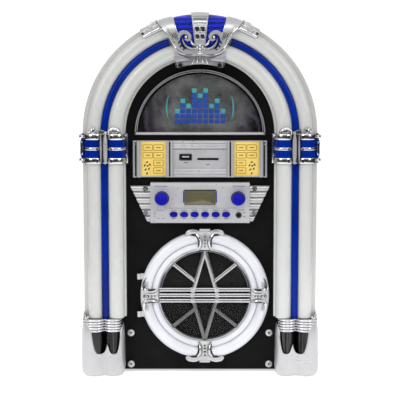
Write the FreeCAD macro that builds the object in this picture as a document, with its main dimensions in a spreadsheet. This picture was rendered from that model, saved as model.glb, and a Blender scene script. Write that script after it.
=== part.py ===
import FreeCAD, Part
import math
import os

import Sketcher
from FreeCAD import Placement, Rotation, Vector

# A tabletop CD jukebox: an arched cabinet with light tubes up both sides and over the top, chrome
# boots, collars and crown, a domed window, a selection panel, a control panel and a round CD door.
#
# The frame is in millimetres. +Z is up, the front faces -Y and +X is to the right, seen from the
# front. The origin is on the surface it stands on, under the middle of its width and depth.

DIMENSIONS = {
    # How far a cutter runs past the face it opens, and how far joined solids reach into each other.
    "over": 1.0,
    "lap": 0.2,
    # Cabinet: an upright arch, closed in front by the panel and behind by the rear cover.
    "arch_height": 281.4,
    "cabinet_half": 131.0,
    "cabinet_bottom": 2.5,
    "cabinet_wall": 5.0,
    "panel_front": -55.0,
    "panel_thick": 3.0,
    "shell_back": 83.0,
    "cover_thick": 3.0,
    "foot_radius": 8.0,
    "foot_side": 108.0,
    "foot_front": -34.0,
    "foot_back": 66.0,
    # Light tubes: two round lobes side by side with a groove between them and a rim on each side.
    "tube_inner": 85.5,
    "tube_outer": 134.5,
    "tube_shoulder": -66.0,
    "lobe_spring": -71.0,
    "inner_lobe": 96.5,
    "inner_lobe_radius": 8.8,
    "outer_lobe": 121.2,
    "outer_lobe_radius": 8.1,
    "tube_wall": 2.0,
    "column_bottom": 68.0,
    "stripe_inner": 105.6,
    "stripe_outer": 112.8,
    "stripe_front": -74.0,
    "stripe_crown": 1.8,
    "strip_board_half": 4.5,
    "strip_board_thick": 1.2,
    "lamp_size": 5.0,
    "lamp_thick": 1.6,
    "lamp_first": 14.0,
    "lamp_pitch": 25.0,
    "strip_margin": 6.0,
    # Boots at the foot of each column.
    "boot_bottom": 0.8,
    "boot_top": 67.6,
    "boot_inner_lobe": 101.5,
    "boot_outer_lobe": 122.5,
    "boot_inner_radius": 10.0,
    "boot_outer_radius": 12.0,
    "boot_centre": -71.0,
    "boot_flare": 3.2,
    "skirt_top": 48.0,
    "ridge_first": 52.0,
    "ridge_pitch": 3.1,
    "ridge_height": 2.2,
    "ridge_out": 1.4,
    # Collars round each column where it meets the arch.
    "collar_bottom": 247.0,
    "collar_top": 281.2,
    "collar_band": 7.0,
    "collar_middle": 262.6,
    "collar_middle_band": 3.4,
    "collar_gap": 0.3,
    "collar_skin": 1.6,
    "inlay_skin": 2.1,
    "collar_proud": 3.0,
    "collar_bar_half": 3.0,
    "collar_bar_proud": 7.6,
    # Crown: straps, wings and a bracket over the top of the arch.
    "crown_gap": 0.3,
    "insert_skin": 1.6,
    "strap_proud": 4.4,
    "centre_strap_half": 4.3,
    "side_strap_start": 12.2,
    "side_strap_end": 18.6,
    "wing_end": 30.5,
    "wing_proud": 3.6,
    "bracket_inner": 77.6,
    "bracket_half": 18.6,
    "bracket_front": -72.0,
    "crown_front": -87.5,
    "rosette_height": 374.9,
    "rosette_radius": 5.6,
    "volute_side": 16.5,
    "volute_height": 392.0,
    "volute_radius": 5.0,
    "scroll_band_below": 2.5,
    "scroll_band_above": 14.0,
    "scroll_band_front": 5.2,
    "scroll_band_back": 2.6,
    # Dome window above the selection panel.
    "dome_base": 278.6,
    "dome_radius": 75.4,
    "dome_rim": 3.2,
    "dome_front": -60.0,
    "dome_opening": 70.0,
    "pane_thick": 1.5,
    "pane_sink": 1.0,
    "pane_gap": 0.2,
    "backdrop_thick": 1.0,
    # Selection panel.
    "selection_half": 77.3,
    "selection_bottom": 229.9,
    "selection_top": 272.2,
    "selection_plate": 3.4,
    "post_front": -61.6,
    "card_near": 39.3,
    "card_far": 68.4,
    "middle_half": 31.2,
    "socket_below": 5.0,
    "socket_above": 6.0,
    "socket_gap": 0.2,
    "card_gap": 0.1,
    "card_bottom": 231.4,
    "card_top": 270.7,
    "card_thick": 0.8,
    "rib_height": 2.4,
    "rib_pitch": 3.12,
    "rib_proud": 1.4,
    "groove_width": 1.6,
    "groove_deep": 1.6,
    "usb_side": -16.6,
    "usb_height": 253.1,
    "usb_half_width": 6.6,
    "usb_half_height": 2.9,
    "usb_wall": 0.35,
    "usb_deep": 14.0,
    "usb_tongue": 1.84,
    "usb_floor": 2.0,
    "tongue_drop": 0.6,
    "slot_side": 9.2,
    "slot_height": 250.9,
    "slot_half_width": 12.3,
    "slot_half_height": 1.3,
    "slot_deep": 26.0,
    "slot_wall": 0.8,
    # Control panel.
    "control_half": 57.2,
    "control_bottom": 177.6,
    "control_top": 223.9,
    "control_front": -67.0,
    "control_bevel": 3.6,
    "control_wall": 2.5,
    "control_roof": 3.9,
    "display_half": 18.0,
    "display_bottom": 198.0,
    "display_top": 215.5,
    "display_thick": 1.6,
    "display_sink": 0.4,
    "display_gap": 0.1,
    "display_frame": 2.0,
    "knob_side": 44.0,
    "knob_height": 206.0,
    "knob_radius": 7.7,
    "knob_front": -77.0,
    "knob_back": -67.5,
    "knob_edge": 1.0,
    "shaft_radius": 3.0,
    "running_gap": 0.05,
    "encoder_half": 5.8,
    "encoder_front": -63.6,
    "shaft_end": -59.6,
    "encoder_floor": 0.2,
    "button_first": -30.4,
    "button_pitch": 12.1,
    "button_height": 187.4,
    "button_half": 1.5,
    "button_radius": 2.9,
    "button_front": -69.6,
    "button_back": -60.8,
    "button_gap": 0.3,
    "flange_out": 0.9,
    "flange_thick": 1.0,
    "board_front": -58.0,
    "board_thick": 1.6,
    "board_below": 0.5,
    "board_above": 2.4,
    "switch_half": 3.0,
    "switch_thick": 1.6,
    "jack_side": 44.6,
    "jack_height": 186.7,
    "jack_bore": 1.8,
    "jack_body": 3.0,
    "jack_bezel": 3.6,
    "jack_front": -67.8,
    "jack_back": -51.0,
    "jack_deep": 14.0,
    "jack_gap": 0.1,
    "jack_board_gap": 0.3,
    # Ribbed wings beside the control panel.
    "wing_top": 216.6,
    "wing_pitch": 7.05,
    "wing_reach": 81.4,
    "wing_step": 3.8,
    "wing_inner": 57.6,
    "wing_rib": 3.45,
    "wing_centre": -58.6,
    # CD door.
    "door_side": 5.6,
    "door_height": 92.0,
    "door_back": -56.0,
    "ring_spring": -61.5,
    "ring_outer": 75.0,
    "ring_groove": 62.0,
    "ring_inner": 54.7,
    "rebate_radius": 56.8,
    "rebate_deep": 2.3,
    "window_radius": 56.5,
    "window_thick": 1.8,
    "window_gap": 0.3,
    "bezel_inner": 51.6,
    "grille_front": -63.2,
    "grille_back": -58.6,
    "bar_back": -60.4,
    "bar_height": 3.6,
    "bar_pitch": 6.6,
    "diamond_half": 15.6,
    "diamond_bar": 3.0,
    "spoke_bar": 2.8,
    "bar_sink": 0.6,
    "bar_reach": 1.5,
    "rail_reach": 0.8,
    "ornament_gap": 0.2,
    "ornament_skin": 1.5,
    "ornament_reach": 81.2,
    "ornament_front": -66.0,
    "clasp_sink": 0.3,
    "cap_half": 8.0,
    "scroll_side": 11.6,
    "scroll_out": 2.6,
    "scroll_radius": 2.8,
    # Door hinge and catch.
    "hinge_side": -71.0,
    "hinge_depth": -62.0,
    "hinge_offset": 22.2,
    "knuckle_radius": 2.3,
    "knuckle_half": 3.25,
    "knuckle_arm": 8.0,
    "knuckle_arm_thick": 3.0,
    "pin_radius": 1.0,
    "ear_gap": 0.2,
    "ear_thick": 2.0,
    "ear_web_half": 1.8,
    "leaf_thick": 0.6,
    "leaf_outer": 5.2,
    "leaf_inner": 2.2,
    "leaf_half": 36.0,
    "catch_radius": 2.5,
    "catch_side": 68.6,
    "catch_front": -55.5,
    "catch_long": 3.4,
    # CD deck behind the door.
    "bay_radius": 63.0,
    "tray_outer": 67.0,
    "tray_inner": 63.2,
    "tray_front": -51.9,
    "tray_floor": -42.0,
    "tray_back": -39.0,
    "hub_hole": 4.0,
    "post_half": 2.5,
    "post_back": 1.5,
    "post_lap": 0.5,
    "hub_radius": 15.0,
    "hub_back": -42.4,
    "hub_top": -44.8,
    "boss_radius": 7.3,
    "boss_top": -48.6,
    "boss_bevel": 1.5,
    "spindle_radius": 1.0,
    "spindle_end": -30.5,
    "motor_radius": 10.0,
    "motor_front": -38.6,
    "motor_back": -27.0,
    "lens_start": 24.0,
    "lens_radius": 3.4,
    "lens_top": -43.2,
    "slot_start": 19.0,
    "slot_end": 61.5,
    "slot_half": 4.4,
    "sled_start": 17.0,
    "sled_long": 13.0,
    "sled_half": 14.0,
    "sled_front": -38.6,
    "sled_back": -33.6,
    "rail_offset": 11.0,
    "rail_radius": 1.5,
    "rail_depth": -36.1,
    "rail_start": 12.0,
    "rail_end": 66.0,
    "rail_post": 2.0,
    "rack_end": 58.4,
    "rack_back": 16.5,
    "rack_thick": 2.0,
    "gear_side": 54.0,
    "gear_radius": 8.0,
    "tooth_high": 0.8,
    "tooth_wide": 1.1,
    "tooth_root": 1.5,
    "pitch_gap": 1.0,
    "gear_front": -38.4,
    "gear_back": -34.6,
    "sled_motor_radius": 8.0,
    "sled_motor_front": -33.4,
    "sled_motor_back": -20.0,
    "sled_shaft": 6.0,
    # Speakers in the cabinet's sides.
    "speaker_depth": 14.0,
    "speaker_height": 150.0,
    "speaker_hole": 31.0,
    "speaker_flange": 37.0,
    "grille_radius": 38.0,
    "grille_thick": 2.0,
    "basket_deep": 20.0,
    "basket_near": 18.0,
    "basket_far": 32.0,
    "basket_wall": 1.5,
    "cone_throat": 8.0,
    "cone_near": 8.9,
    "cone_far": 29.0,
    "cone_skin": 1.4,
    "cone_gap": 0.1,
    "magnet_radius": 17.0,
    "magnet_thick": 10.0,
    "flange_deep": 2.0,
    "speaker_gap": 0.2,
    "grille_pitch": 7.0,
    "grille_slot_half": 1.6,
    # Rear cover fittings.
    "inlet_side": -70.0,
    "inlet_height": 40.0,
    "inlet_radius": 5.5,
    "inlet_body": 4.8,
    "inlet_bore": 2.8,
    "inlet_pin": 1.0,
    "inlet_deep": 12.0,
    "rocker_side": -40.0,
    "rocker_height": 40.0,
    "rocker_half_width": 4.6,
    "rocker_half_height": 7.6,
    "rocker_pivot": 82.9,
    "rocker_tilt": 8.0,
    "rocker_root": 3.4,
    "rocker_edge": 1.5,
    "rocker_crest": 4.0,
    "rocker_crest_half": 1.8,
    "rocker_taper": 0.6,
    "switch_half_width": 6.6,
    "switch_half_height": 9.8,
    "switch_flange": 1.6,
    "switch_deep": 12.0,
    "switch_face": 86.9,
    "switch_floor": 1.5,
    "rocker_gap": 0.4,
    "inlet_bezel": 1.0,
    "inlet_bore_deep": 9.0,
    "inlet_pin_deep": 10.0,
    "vent_half": 32.0,
    "vent_gap": 2.4,
    "vent_pitch": 9.6,
    "rear_screw_inset": 12.0,
    # Screws.
    "lug_head": 3.8,
    "lug_thick": 3.0,
    "lug_side": 80.8,
    "lug_upper": 46.2,
    "lug_lower": 8.9,
    "head_radius": 2.7,
    "head_thick": 1.5,
    "shank_radius": 1.4,
    "wing_screw_side": 63.0,
    "bracket_screw_side": 22.4,
    "bracket_screw_height": 358.4,
    # Main board on the cabinet's floor.
    "main_half": 55.0,
    "main_front": -12.0,
    "main_back": 62.0,
    "main_height": 16.0,
    "main_thick": 1.6,
    "standoff_radius": 3.0,
    "standoff_inset": 5.0,
    "sink_half": 20.0,
    "sink_near": 18.0,
    "sink_far": 8.0,
    "sink_tall": 22.0,
    "capacitor_radius": 5.0,
    "capacitor_tall": 16.0,
    "capacitor_first": -40.0,
    "capacitor_pitch": 14.0,
    "parts_front": 16.0,
    "processor_side": 20.0,
    "processor_half": 8.0,
    "processor_thick": 2.0,
}

BUTTONS = 6
RIDGES = 5
WING_RIBS = 6
PANEL_RIBS = 3
GEAR_TEETH = 16
VENTS = 7
COLUMN_LAMPS = 7
ARCH_LAMPS = 11
ARCH_LAMP_TURN = 15.0
LAMP_ARC = (6.0, 174.0)
CAPACITORS = 3
GRILLE_SLOTS = range(-4, 5)
GRILLE_FILL = 0.86
REAR_SCREW_HEIGHTS = (20.0, 150.0, 270.0)
SCREWED_RIBS = (0, 4)
INSERT_GAP_ANGLE = 0.1


class Size:
    """A length with its present value and the spreadsheet expression it comes from."""

    def __init__(self, value, text):
        self.value = value
        self.text = text

    def __add__(self, other):
        other = as_size(other)
        return Size(self.value + other.value, f"({self.text} + {other.text})")

    def __sub__(self, other):
        other = as_size(other)
        return Size(self.value - other.value, f"({self.text} - {other.text})")

    def __mul__(self, other):
        other = as_size(other)
        return Size(self.value * other.value, f"({self.text} * {other.text})")

    def __truediv__(self, other):
        other = as_size(other)
        return Size(self.value / other.value, f"({self.text} / {other.text})")

    def __radd__(self, other):
        return as_size(other) + self

    def __rsub__(self, other):
        return as_size(other) - self

    def __rmul__(self, other):
        return as_size(other) * self

    def __neg__(self):
        return 0.0 - self

    def root(self):
        return Size(math.sqrt(max(0.0, self.value)), f"sqrt(max(0; {self.text}))")


def as_size(item):
    """Plain numbers become sizes too, so that both can be added and bound."""
    if isinstance(item, Size):
        return item
    return Size(float(item), f"({float(item)})")


class Dimensions:
    """The document's spreadsheet, with each alias readable as a Size."""

    def __init__(self, document, values):
        self.values = values
        cells = document.addObject("Spreadsheet::Sheet", "dims")
        for row, (alias, value) in enumerate(values.items(), start=1):
            cells.set(f"A{row}", alias)
            cells.set(f"B{row}", str(value))
            cells.setAlias(f"B{row}", alias)
        document.recompute()

    def __getattr__(self, alias):
        return Size(self.values[alias], "dims." + alias)


doc = FreeCAD.newDocument("jukebox")
d = Dimensions(doc, DIMENSIONS)
nodes = []


# ---------------------------------------------------------------- helpers

def bind(item, path, size):
    item.setExpression(path, as_size(size).text)


def place(item, x, y, z, rotation=None):
    if rotation is not None:
        item.Placement = Placement(Vector(), rotation)
    for axis, size in zip("xyz", (x, y, z)):
        bind(item, f"Placement.Base.{axis}", size)


def node(item, label):
    """Marks a document object as a finished sub-part with its own name."""
    item.Label = label
    nodes.append(item)
    return item


def block(name, xs, ys, zs):
    """A box between low and high values along each axis."""
    box = doc.addObject("Part::Box", name)
    for side, (low, high) in zip(("Length", "Width", "Height"), (xs, ys, zs)):
        bind(box, side, as_size(high) - low)
    place(box, xs[0], ys[0], zs[0])
    return box


TURNS = {
    "x": Rotation(Vector(0, 1, 0), 90),
    "y": Rotation(Vector(1, 0, 0), -90),
    "z": Rotation(),
}


def rod(name, radius, start, axis, length):
    """A cylinder from a start point along the positive axis."""
    cylinder = doc.addObject("Part::Cylinder", name)
    bind(cylinder, "Radius", radius)
    bind(cylinder, "Height", length)
    place(cylinder, *start, TURNS[axis])
    return cylinder


def taper(name, radii, start, axis, length):
    """A cone frustum from a start point along the positive axis."""
    cone = doc.addObject("Part::Cone", name)
    bind(cone, "Radius1", radii[0])
    bind(cone, "Radius2", radii[1])
    bind(cone, "Height", length)
    place(cone, *start, TURNS[axis])
    return cone


def fused(name, pieces):
    result = doc.addObject("Part::MultiFuse", name)
    result.Shapes = pieces
    return result


def compound(name, pieces):
    """Separate solids that share one sub-part."""
    result = doc.addObject("Part::Compound", name)
    result.Links = pieces
    return result


def cut(name, base, tools):
    result = doc.addObject("Part::Cut", name)
    result.Base = base
    result.Tool = tools[0] if len(tools) == 1 else fused(name + "_tools", tools)
    return result


def new_body(name):
    return doc.addObject("PartDesign::Body", name)


def new_sketch(body, name, plane, offset):
    sketch = body.newObject("Sketcher::SketchObject", name)
    support = [feature for feature in body.Origin.OriginFeatures if feature.Role == plane]
    sketch.AttachmentSupport = [(support[0], "")]
    sketch.MapMode = "FlatFace"
    bind(sketch, "AttachmentOffset.Base.z", offset)
    return sketch


def plan_sketch(body, name, z):
    """A horizontal sketch at a height."""
    return new_sketch(body, name, "XY_Plane", z)


def front_sketch(body, name, y):
    """An upright sketch facing the front, at a depth. Its second axis is the model's Z."""
    return new_sketch(body, name, "XZ_Plane", -as_size(y))


def side_sketch(body, name, x=0.0):
    """An upright sketch facing sideways. Its axes are the model's Y and Z."""
    return new_sketch(body, name, "YZ_Plane", x)


def fix_point(sketch, geometry, position, x, y):
    """Holds a point at its place with two constraints bound to the spreadsheet."""
    for kind, axis, size in (("DistanceX", -2, x), ("DistanceY", -1, y)):
        if size.value == 0.0:
            sketch.addConstraint(Sketcher.Constraint("PointOnObject", geometry, position, axis))
            continue
        index = sketch.addConstraint(
            Sketcher.Constraint(kind, -1, 1, geometry, position, size.value))
        sketch.setExpression(f"Constraints[{index}]", size.text)


def fix_centre(sketch, arc, start, end, centre):
    """Holds an arc's one free coordinate: the one that runs across its chord."""
    wide = abs(end[0].value - start[0].value) > abs(end[1].value - start[1].value)
    kind, axis, size = ("DistanceY", -1, centre[1]) if wide else ("DistanceX", -2, centre[0])
    if size.value == 0.0:
        sketch.addConstraint(Sketcher.Constraint("PointOnObject", arc, 3, axis))
        return
    index = sketch.addConstraint(Sketcher.Constraint(kind, -1, 1, arc, 3, size.value))
    sketch.setExpression(f"Constraints[{index}]", size.text)


def trace(sketch, steps):
    """Draws one closed outline. Each step is the next corner (x, y), reached in a straight line,
    or (x, y, centre, turn), reached along an arc about centre that turns "left" or "right"."""
    corners = [(as_size(step[0]), as_size(step[1])) for step in steps]
    ends = []
    for index, step in enumerate(steps):
        start, end = corners[index - 1], corners[index]
        if len(step) == 2:
            line = Part.LineSegment(Vector(start[0].value, start[1].value, 0),
                                    Vector(end[0].value, end[1].value, 0))
            ends.append((sketch.addGeometry(line, False), 1, 2))
            continue
        centre = (as_size(step[2][0]), as_size(step[2][1]))
        reach = math.hypot(end[0].value - centre[0].value, end[1].value - centre[1].value)
        circle = Part.Circle(Vector(centre[0].value, centre[1].value, 0), Vector(0, 0, 1), reach)
        angles = [math.atan2(point[1].value - centre[1].value, point[0].value - centre[0].value)
                  for point in (start, end)]
        if step[3] == "left":
            arc = sketch.addGeometry(Part.ArcOfCircle(circle, angles[0], angles[1]), False)
            ends.append((arc, 1, 2))
        else:
            arc = sketch.addGeometry(Part.ArcOfCircle(circle, angles[1], angles[0]), False)
            ends.append((arc, 2, 1))
        fix_centre(sketch, arc, start, end, centre)
    for index, (geometry, first, last) in enumerate(ends):
        before, _, before_last = ends[index - 1]
        sketch.addConstraint(
            Sketcher.Constraint("Coincident", before, before_last, geometry, first))
        fix_point(sketch, geometry, last, *corners[index])


def ring_line(sketch, x, y, radius):
    """Draws one circle."""
    x, y, radius = as_size(x), as_size(y), as_size(radius)
    circle = Part.Circle(Vector(x.value, y.value, 0), Vector(0, 0, 1), radius.value)
    geometry = sketch.addGeometry(circle, False)
    fix_point(sketch, geometry, 3, x, y)
    index = sketch.addConstraint(Sketcher.Constraint("Radius", geometry, radius.value))
    sketch.setExpression(f"Constraints[{index}]", radius.text)


def rectangle(sketch, xs, ys):
    trace(sketch, [(xs[0], ys[0]), (xs[1], ys[0]), (xs[1], ys[1]), (xs[0], ys[1])])


def pad(body, sketch, length, reverse=False, middle=False):
    feature = body.newObject("PartDesign::Pad", sketch.Name + "_pad")
    feature.Profile = sketch
    feature.Reversed = reverse
    feature.Midplane = middle
    bind(feature, "Length", length)
    return feature


def pocket(body, sketch, length, middle=False):
    feature = body.newObject("PartDesign::Pocket", sketch.Name + "_pocket")
    feature.Profile = sketch
    feature.Midplane = middle
    bind(feature, "Length", length)
    return feature


def revolve(body, sketch, angle=360.0):
    """Turns a plan sketch about its own second axis, the model's Y, from the right upwards."""
    feature = body.newObject("PartDesign::Revolution", sketch.Name + "_turn")
    feature.Profile = sketch
    feature.Reversed = True
    feature.ReferenceAxis = (sketch, ["V_Axis"])
    bind(feature, "Angle", angle)
    return feature


# ---------------------------------------------------------------- cabinet

def arch_steps(half, bottom):
    """An upright arch: straight sides from the bottom, then a half circle."""
    return [(-half, bottom), (half, bottom), (half, d.arch_height),
            (-half, d.arch_height, (0.0, d.arch_height), "left")]


panel_back = d.panel_front + d.panel_thick
cover_face = d.shell_back + d.cover_thick
inner_half = d.cabinet_half - d.cabinet_wall


def make_cabinet_shell():
    body = new_body("cabinet_shell_body")
    sketch = front_sketch(body, "shell_outline", panel_back)
    trace(sketch, arch_steps(d.cabinet_half, d.cabinet_bottom))
    trace(sketch, arch_steps(inner_half, d.cabinet_bottom + d.cabinet_wall))
    pad(body, sketch, d.shell_back - panel_back, reverse=True)
    holes = side_sketch(body, "speaker_holes")
    ring_line(holes, d.speaker_depth, d.speaker_height, d.speaker_hole)
    pocket(body, holes, 2.0 * (d.cabinet_half + d.over), middle=True)
    node(body, "cabinet_shell")


def front_screw_places():
    """Where the lug, wing and bracket screws go through the front panel."""
    lugs = [(side * d.lug_side, height) for side in (-1, 1) for height in (d.lug_upper, d.lug_lower)]
    wings = [(side * d.wing_screw_side, d.wing_top - row * d.wing_pitch)
             for side in (-1, 1) for row in SCREWED_RIBS]
    bracket = [(side * d.bracket_screw_side, d.bracket_screw_height) for side in (-1, 1)]
    return lugs, wings, bracket


def make_front_panel():
    body = new_body("front_panel_body")
    sketch = front_sketch(body, "panel_outline", d.panel_front)
    trace(sketch, arch_steps(d.cabinet_half, d.cabinet_bottom))
    ring_line(sketch, d.door_side, d.door_height, d.bay_radius)
    half_disc(sketch, d.dome_opening, d.dome_rim)
    rectangle(sketch, (-d.control_half + d.control_wall, d.control_half - d.control_wall),
              (d.control_bottom + d.control_wall, d.control_top - d.control_wall))
    rectangle(sketch, (-d.middle_half, d.middle_half),
              (d.slot_height - d.socket_below, d.usb_height + d.socket_above))
    ring_line(sketch, d.door_side + d.catch_side, d.door_height, d.catch_radius)
    for group in front_screw_places():
        for x, z in group:
            ring_line(sketch, x, z, d.shank_radius)
    pad(body, sketch, d.panel_thick, reverse=True)
    node(body, "front_panel")


def make_rear_cover():
    body = new_body("rear_cover_body")
    sketch = front_sketch(body, "cover_outline", d.shell_back)
    trace(sketch, arch_steps(d.cabinet_half, d.cabinet_bottom))
    ring_line(sketch, d.inlet_side, d.inlet_height, d.inlet_body)
    rectangle(sketch, (d.rocker_side - d.switch_half_width, d.rocker_side + d.switch_half_width),
              (d.rocker_height - d.switch_half_height, d.rocker_height + d.switch_half_height))
    for x, z in rear_screw_places():
        ring_line(sketch, x, z, d.shank_radius)
    for row in range(VENTS):
        top = d.arch_height - row * d.vent_pitch
        rectangle(sketch, (-d.vent_half, d.vent_half), (top - d.vent_gap, top))
    pad(body, sketch, d.cover_thick, reverse=True)
    node(body, "rear_cover")


def rear_screw_places():
    """Six screws down the sides and two over the arch, on the shell wall's line."""
    reach = d.cabinet_half - d.rear_screw_inset
    sides = [(side * reach, height) for side in (-1, 1) for height in REAR_SCREW_HEIGHTS]
    diagonal = reach * math.sqrt(0.5)
    return sides + [(side * diagonal, d.arch_height + diagonal) for side in (-1, 1)]


def make_rubber_feet():
    feet = [rod("foot", d.foot_radius, (side * d.foot_side, depth, 0.0), "z", d.cabinet_bottom)
            for side in (-1, 1) for depth in (d.foot_front, d.foot_back)]
    node(compound("feet", feet), "rubber_feet")


# ---------------------------------------------------------------- light tubes

def tube_path(side, out, whole=True):
    """The tubes' outline grown outwards by out, from the rim nearest the middle to the far rim.
    Without whole it starts beside the stripe, over the outer lobe only."""
    inner, outer = d.inner_lobe_radius + out, d.outer_lobe_radius + out
    turn = "left" if side > 0 else "right"
    spring, web, shoulder = d.lobe_spring, d.lobe_spring - out, d.tube_shoulder - out
    inner_foot = (inner * inner - out * out).root()
    outer_foot = (outer * outer - out * out).root()
    first = [
        (side * (d.tube_inner - out), d.panel_front),
        (side * (d.tube_inner - out), shoulder),
        (side * (d.inner_lobe - inner), shoulder),
        (side * (d.inner_lobe - inner), spring),
        (side * (d.inner_lobe + inner_foot), web, (side * d.inner_lobe, spring), turn),
    ]
    if not whole:
        start = d.stripe_outer + d.crown_gap
        aside = d.outer_lobe - start
        start_front = spring - (outer * outer - aside * aside).root()
    else:
        start, start_front = d.outer_lobe - outer_foot, web
    second = [
        (side * start, start_front),
        (side * (d.outer_lobe + outer), spring, (side * d.outer_lobe, spring), turn),
        (side * (d.outer_lobe + outer), shoulder),
        (side * (d.tube_outer + out), shoulder),
        (side * (d.tube_outer + out), d.panel_front),
    ]
    return first + second if whole else second


def backwards(steps):
    """The same path walked the other way. Arc data moves to the corner now reached."""
    opposite = {"left": "right", "right": "left"}
    result = [steps[-1][:2]]
    for index in range(len(steps) - 1, 0, -1):
        target = steps[index - 1][:2]
        if len(steps[index]) == 4:
            target = (*target, steps[index][2], opposite[steps[index][3]])
        result.append(target)
    return result


def tube_shell(sketch, side, inside, outside, whole=True):
    """A skin over the tubes between two growths, open at the back."""
    outer, inner = tube_path(side, outside, whole), tube_path(side, inside, whole)
    trace(sketch, outer + backwards(inner))


def make_columns():
    for name, side in (("left", -1), ("right", 1)):
        body = new_body(name + "_column_body")
        sketch = plan_sketch(body, name + "_column_section", d.column_bottom)
        tube_shell(sketch, side, -d.tube_wall, 0.0)
        pad(body, sketch, d.arch_height - d.column_bottom)
        node(body, name + "_column_tubes")


def arch_turn(name, label, draw, start, end):
    """A section turned about the arch's centre between two angles up from the right-hand side."""
    body = new_body(name + "_body")
    sketch = plan_sketch(body, name + "_section", 0.0)
    draw(sketch)
    revolve(body, sketch, end - start)
    body.Placement = Placement(Vector(), Rotation(Vector(0, 1, 0), -as_size(start).value))
    bind(body, "Placement.Base.z", d.arch_height)
    if label:
        node(body, label)
    return body


def make_arch():
    arch_turn("arch_tubes", "arch_tubes", lambda s: tube_shell(s, 1, -d.tube_wall, 0.0), 0.0, 180.0)


def stripe_section(sketch, side):
    turn = "left" if side > 0 else "right"
    middle = (d.stripe_inner + d.stripe_outer) / 2.0
    half = (d.stripe_outer - d.stripe_inner) / 2.0
    rise = d.stripe_crown
    reach = (half * half + rise * rise) / (2.0 * rise)
    trace(sketch, [
        (side * d.stripe_inner, d.lobe_spring),
        (side * d.stripe_inner, d.stripe_front),
        (side * d.stripe_outer, d.stripe_front, (side * middle, d.stripe_front + reach - rise), turn),
        (side * d.stripe_outer, d.lobe_spring),
    ])


def make_stripes():
    straight = []
    for name, side in (("left", -1), ("right", 1)):
        body = new_body(name + "_stripe_body")
        sketch = plan_sketch(body, name + "_stripe_section", d.column_bottom)
        stripe_section(sketch, side)
        pad(body, sketch, d.collar_bottom - d.column_bottom)
        straight.append(body)
    node(compound("stripe_pair", straight), "column_stripes")
    top_gap = DIMENSIONS["side_strap_end"] + DIMENSIONS["lap"]
    curved = [arch_turn(f"arch_stripe_{start:.0f}", None, lambda s: stripe_section(s, 1), start, end)
              for start, end in ((0.0, 90.0 - top_gap), (90.0 + top_gap, 180.0))]
    node(compound("arch_stripes", curved), "arch_stripe")


def make_led_strips():
    """A lamp strip on the panel inside each column and round the arch."""
    middle = (d.stripe_inner + d.stripe_outer) / 2.0
    board_back = d.panel_front - d.strip_board_thick
    strips = []
    for side in (-1, 1):
        centre = side * middle
        pieces = [block("lamp_board", (centre - d.strip_board_half, centre + d.strip_board_half),
                        (board_back, d.panel_front),
                        (d.column_bottom + d.strip_margin, d.collar_bottom))]
        for row in range(COLUMN_LAMPS):
            low = d.column_bottom + d.lamp_first + row * d.lamp_pitch
            pieces.append(block("lamp", (centre - d.lamp_size / 2.0, centre + d.lamp_size / 2.0),
                                (board_back - d.lamp_thick, board_back + d.lap),
                                (low, low + d.lamp_size)))
        strips.append(fused("lamp_column", pieces))

    def section(sketch):
        rectangle(sketch, (middle - d.strip_board_half, middle + d.strip_board_half),
                  (board_back, d.panel_front))

    pieces = [arch_turn("lamp_arch", None, section, *LAMP_ARC)]
    for row in range(ARCH_LAMPS):
        angle = math.radians(ARCH_LAMP_TURN * (row + 1))
        lamp = rod("lamp", d.lamp_size / 2.0,
                   (middle * math.cos(angle), board_back - d.lamp_thick,
                    d.arch_height + middle * math.sin(angle)), "y", d.lamp_thick + d.lap)
        pieces.append(lamp)
    strips.append(fused("lamp_bow", pieces))
    node(compound("lamp_strips", strips), "led_strips")


# ---------------------------------------------------------------- collars, boots and crown

def make_collars():
    """A skin round each column with three proud bands, and the blue inlays between them."""
    top, bottom = d.collar_top, d.collar_bottom
    bands = [(bottom, bottom + d.collar_band),
             (d.collar_middle, d.collar_middle + d.collar_middle_band),
             (top - d.collar_band, top)]
    inlays = [(bands[0][1], bands[1][0]), (bands[1][1], bands[2][0])]
    inlay_pieces = []
    for name, side in (("left", -1), ("right", 1)):
        body = new_body(name + "_collar_body")
        sketch = plan_sketch(body, name + "_collar_section", bottom)
        tube_shell(sketch, side, d.collar_gap, d.collar_skin)
        pad(body, sketch, top - bottom)
        for low, high in bands:
            band = plan_sketch(body, name + "_collar_band", low)
            tube_shell(band, side, d.collar_gap, d.collar_proud)
            pad(body, band, high - low)
        middle = (d.stripe_inner + d.stripe_outer) / 2.0
        bar = plan_sketch(body, name + "_collar_bar", bottom)
        web = d.lobe_spring - d.collar_skin
        xs = (side * middle - d.collar_bar_half, side * middle + d.collar_bar_half)
        rectangle(bar, xs, (web - d.collar_bar_proud, web + 2.0 * d.lap))
        pad(body, bar, top - bottom)
        node(body, name + "_collar")
        for row, (low, high) in enumerate(inlays):
            inlay = new_body(f"{name}_inlay_body")
            outline = plan_sketch(inlay, f"{name}_inlay_section", low)
            tube_shell(outline, side, d.collar_skin, d.inlay_skin)
            pad(inlay, outline, high - low)
            bar_slot = block("inlay_slot", xs, (web - d.collar_bar_proud - d.over, d.panel_front),
                             (low, high))
            inlay_pieces.append(cut(f"{name}_inlay_{row}", inlay, [bar_slot]))
    node(compound("inlays", inlay_pieces), "collar_inlays")


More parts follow.
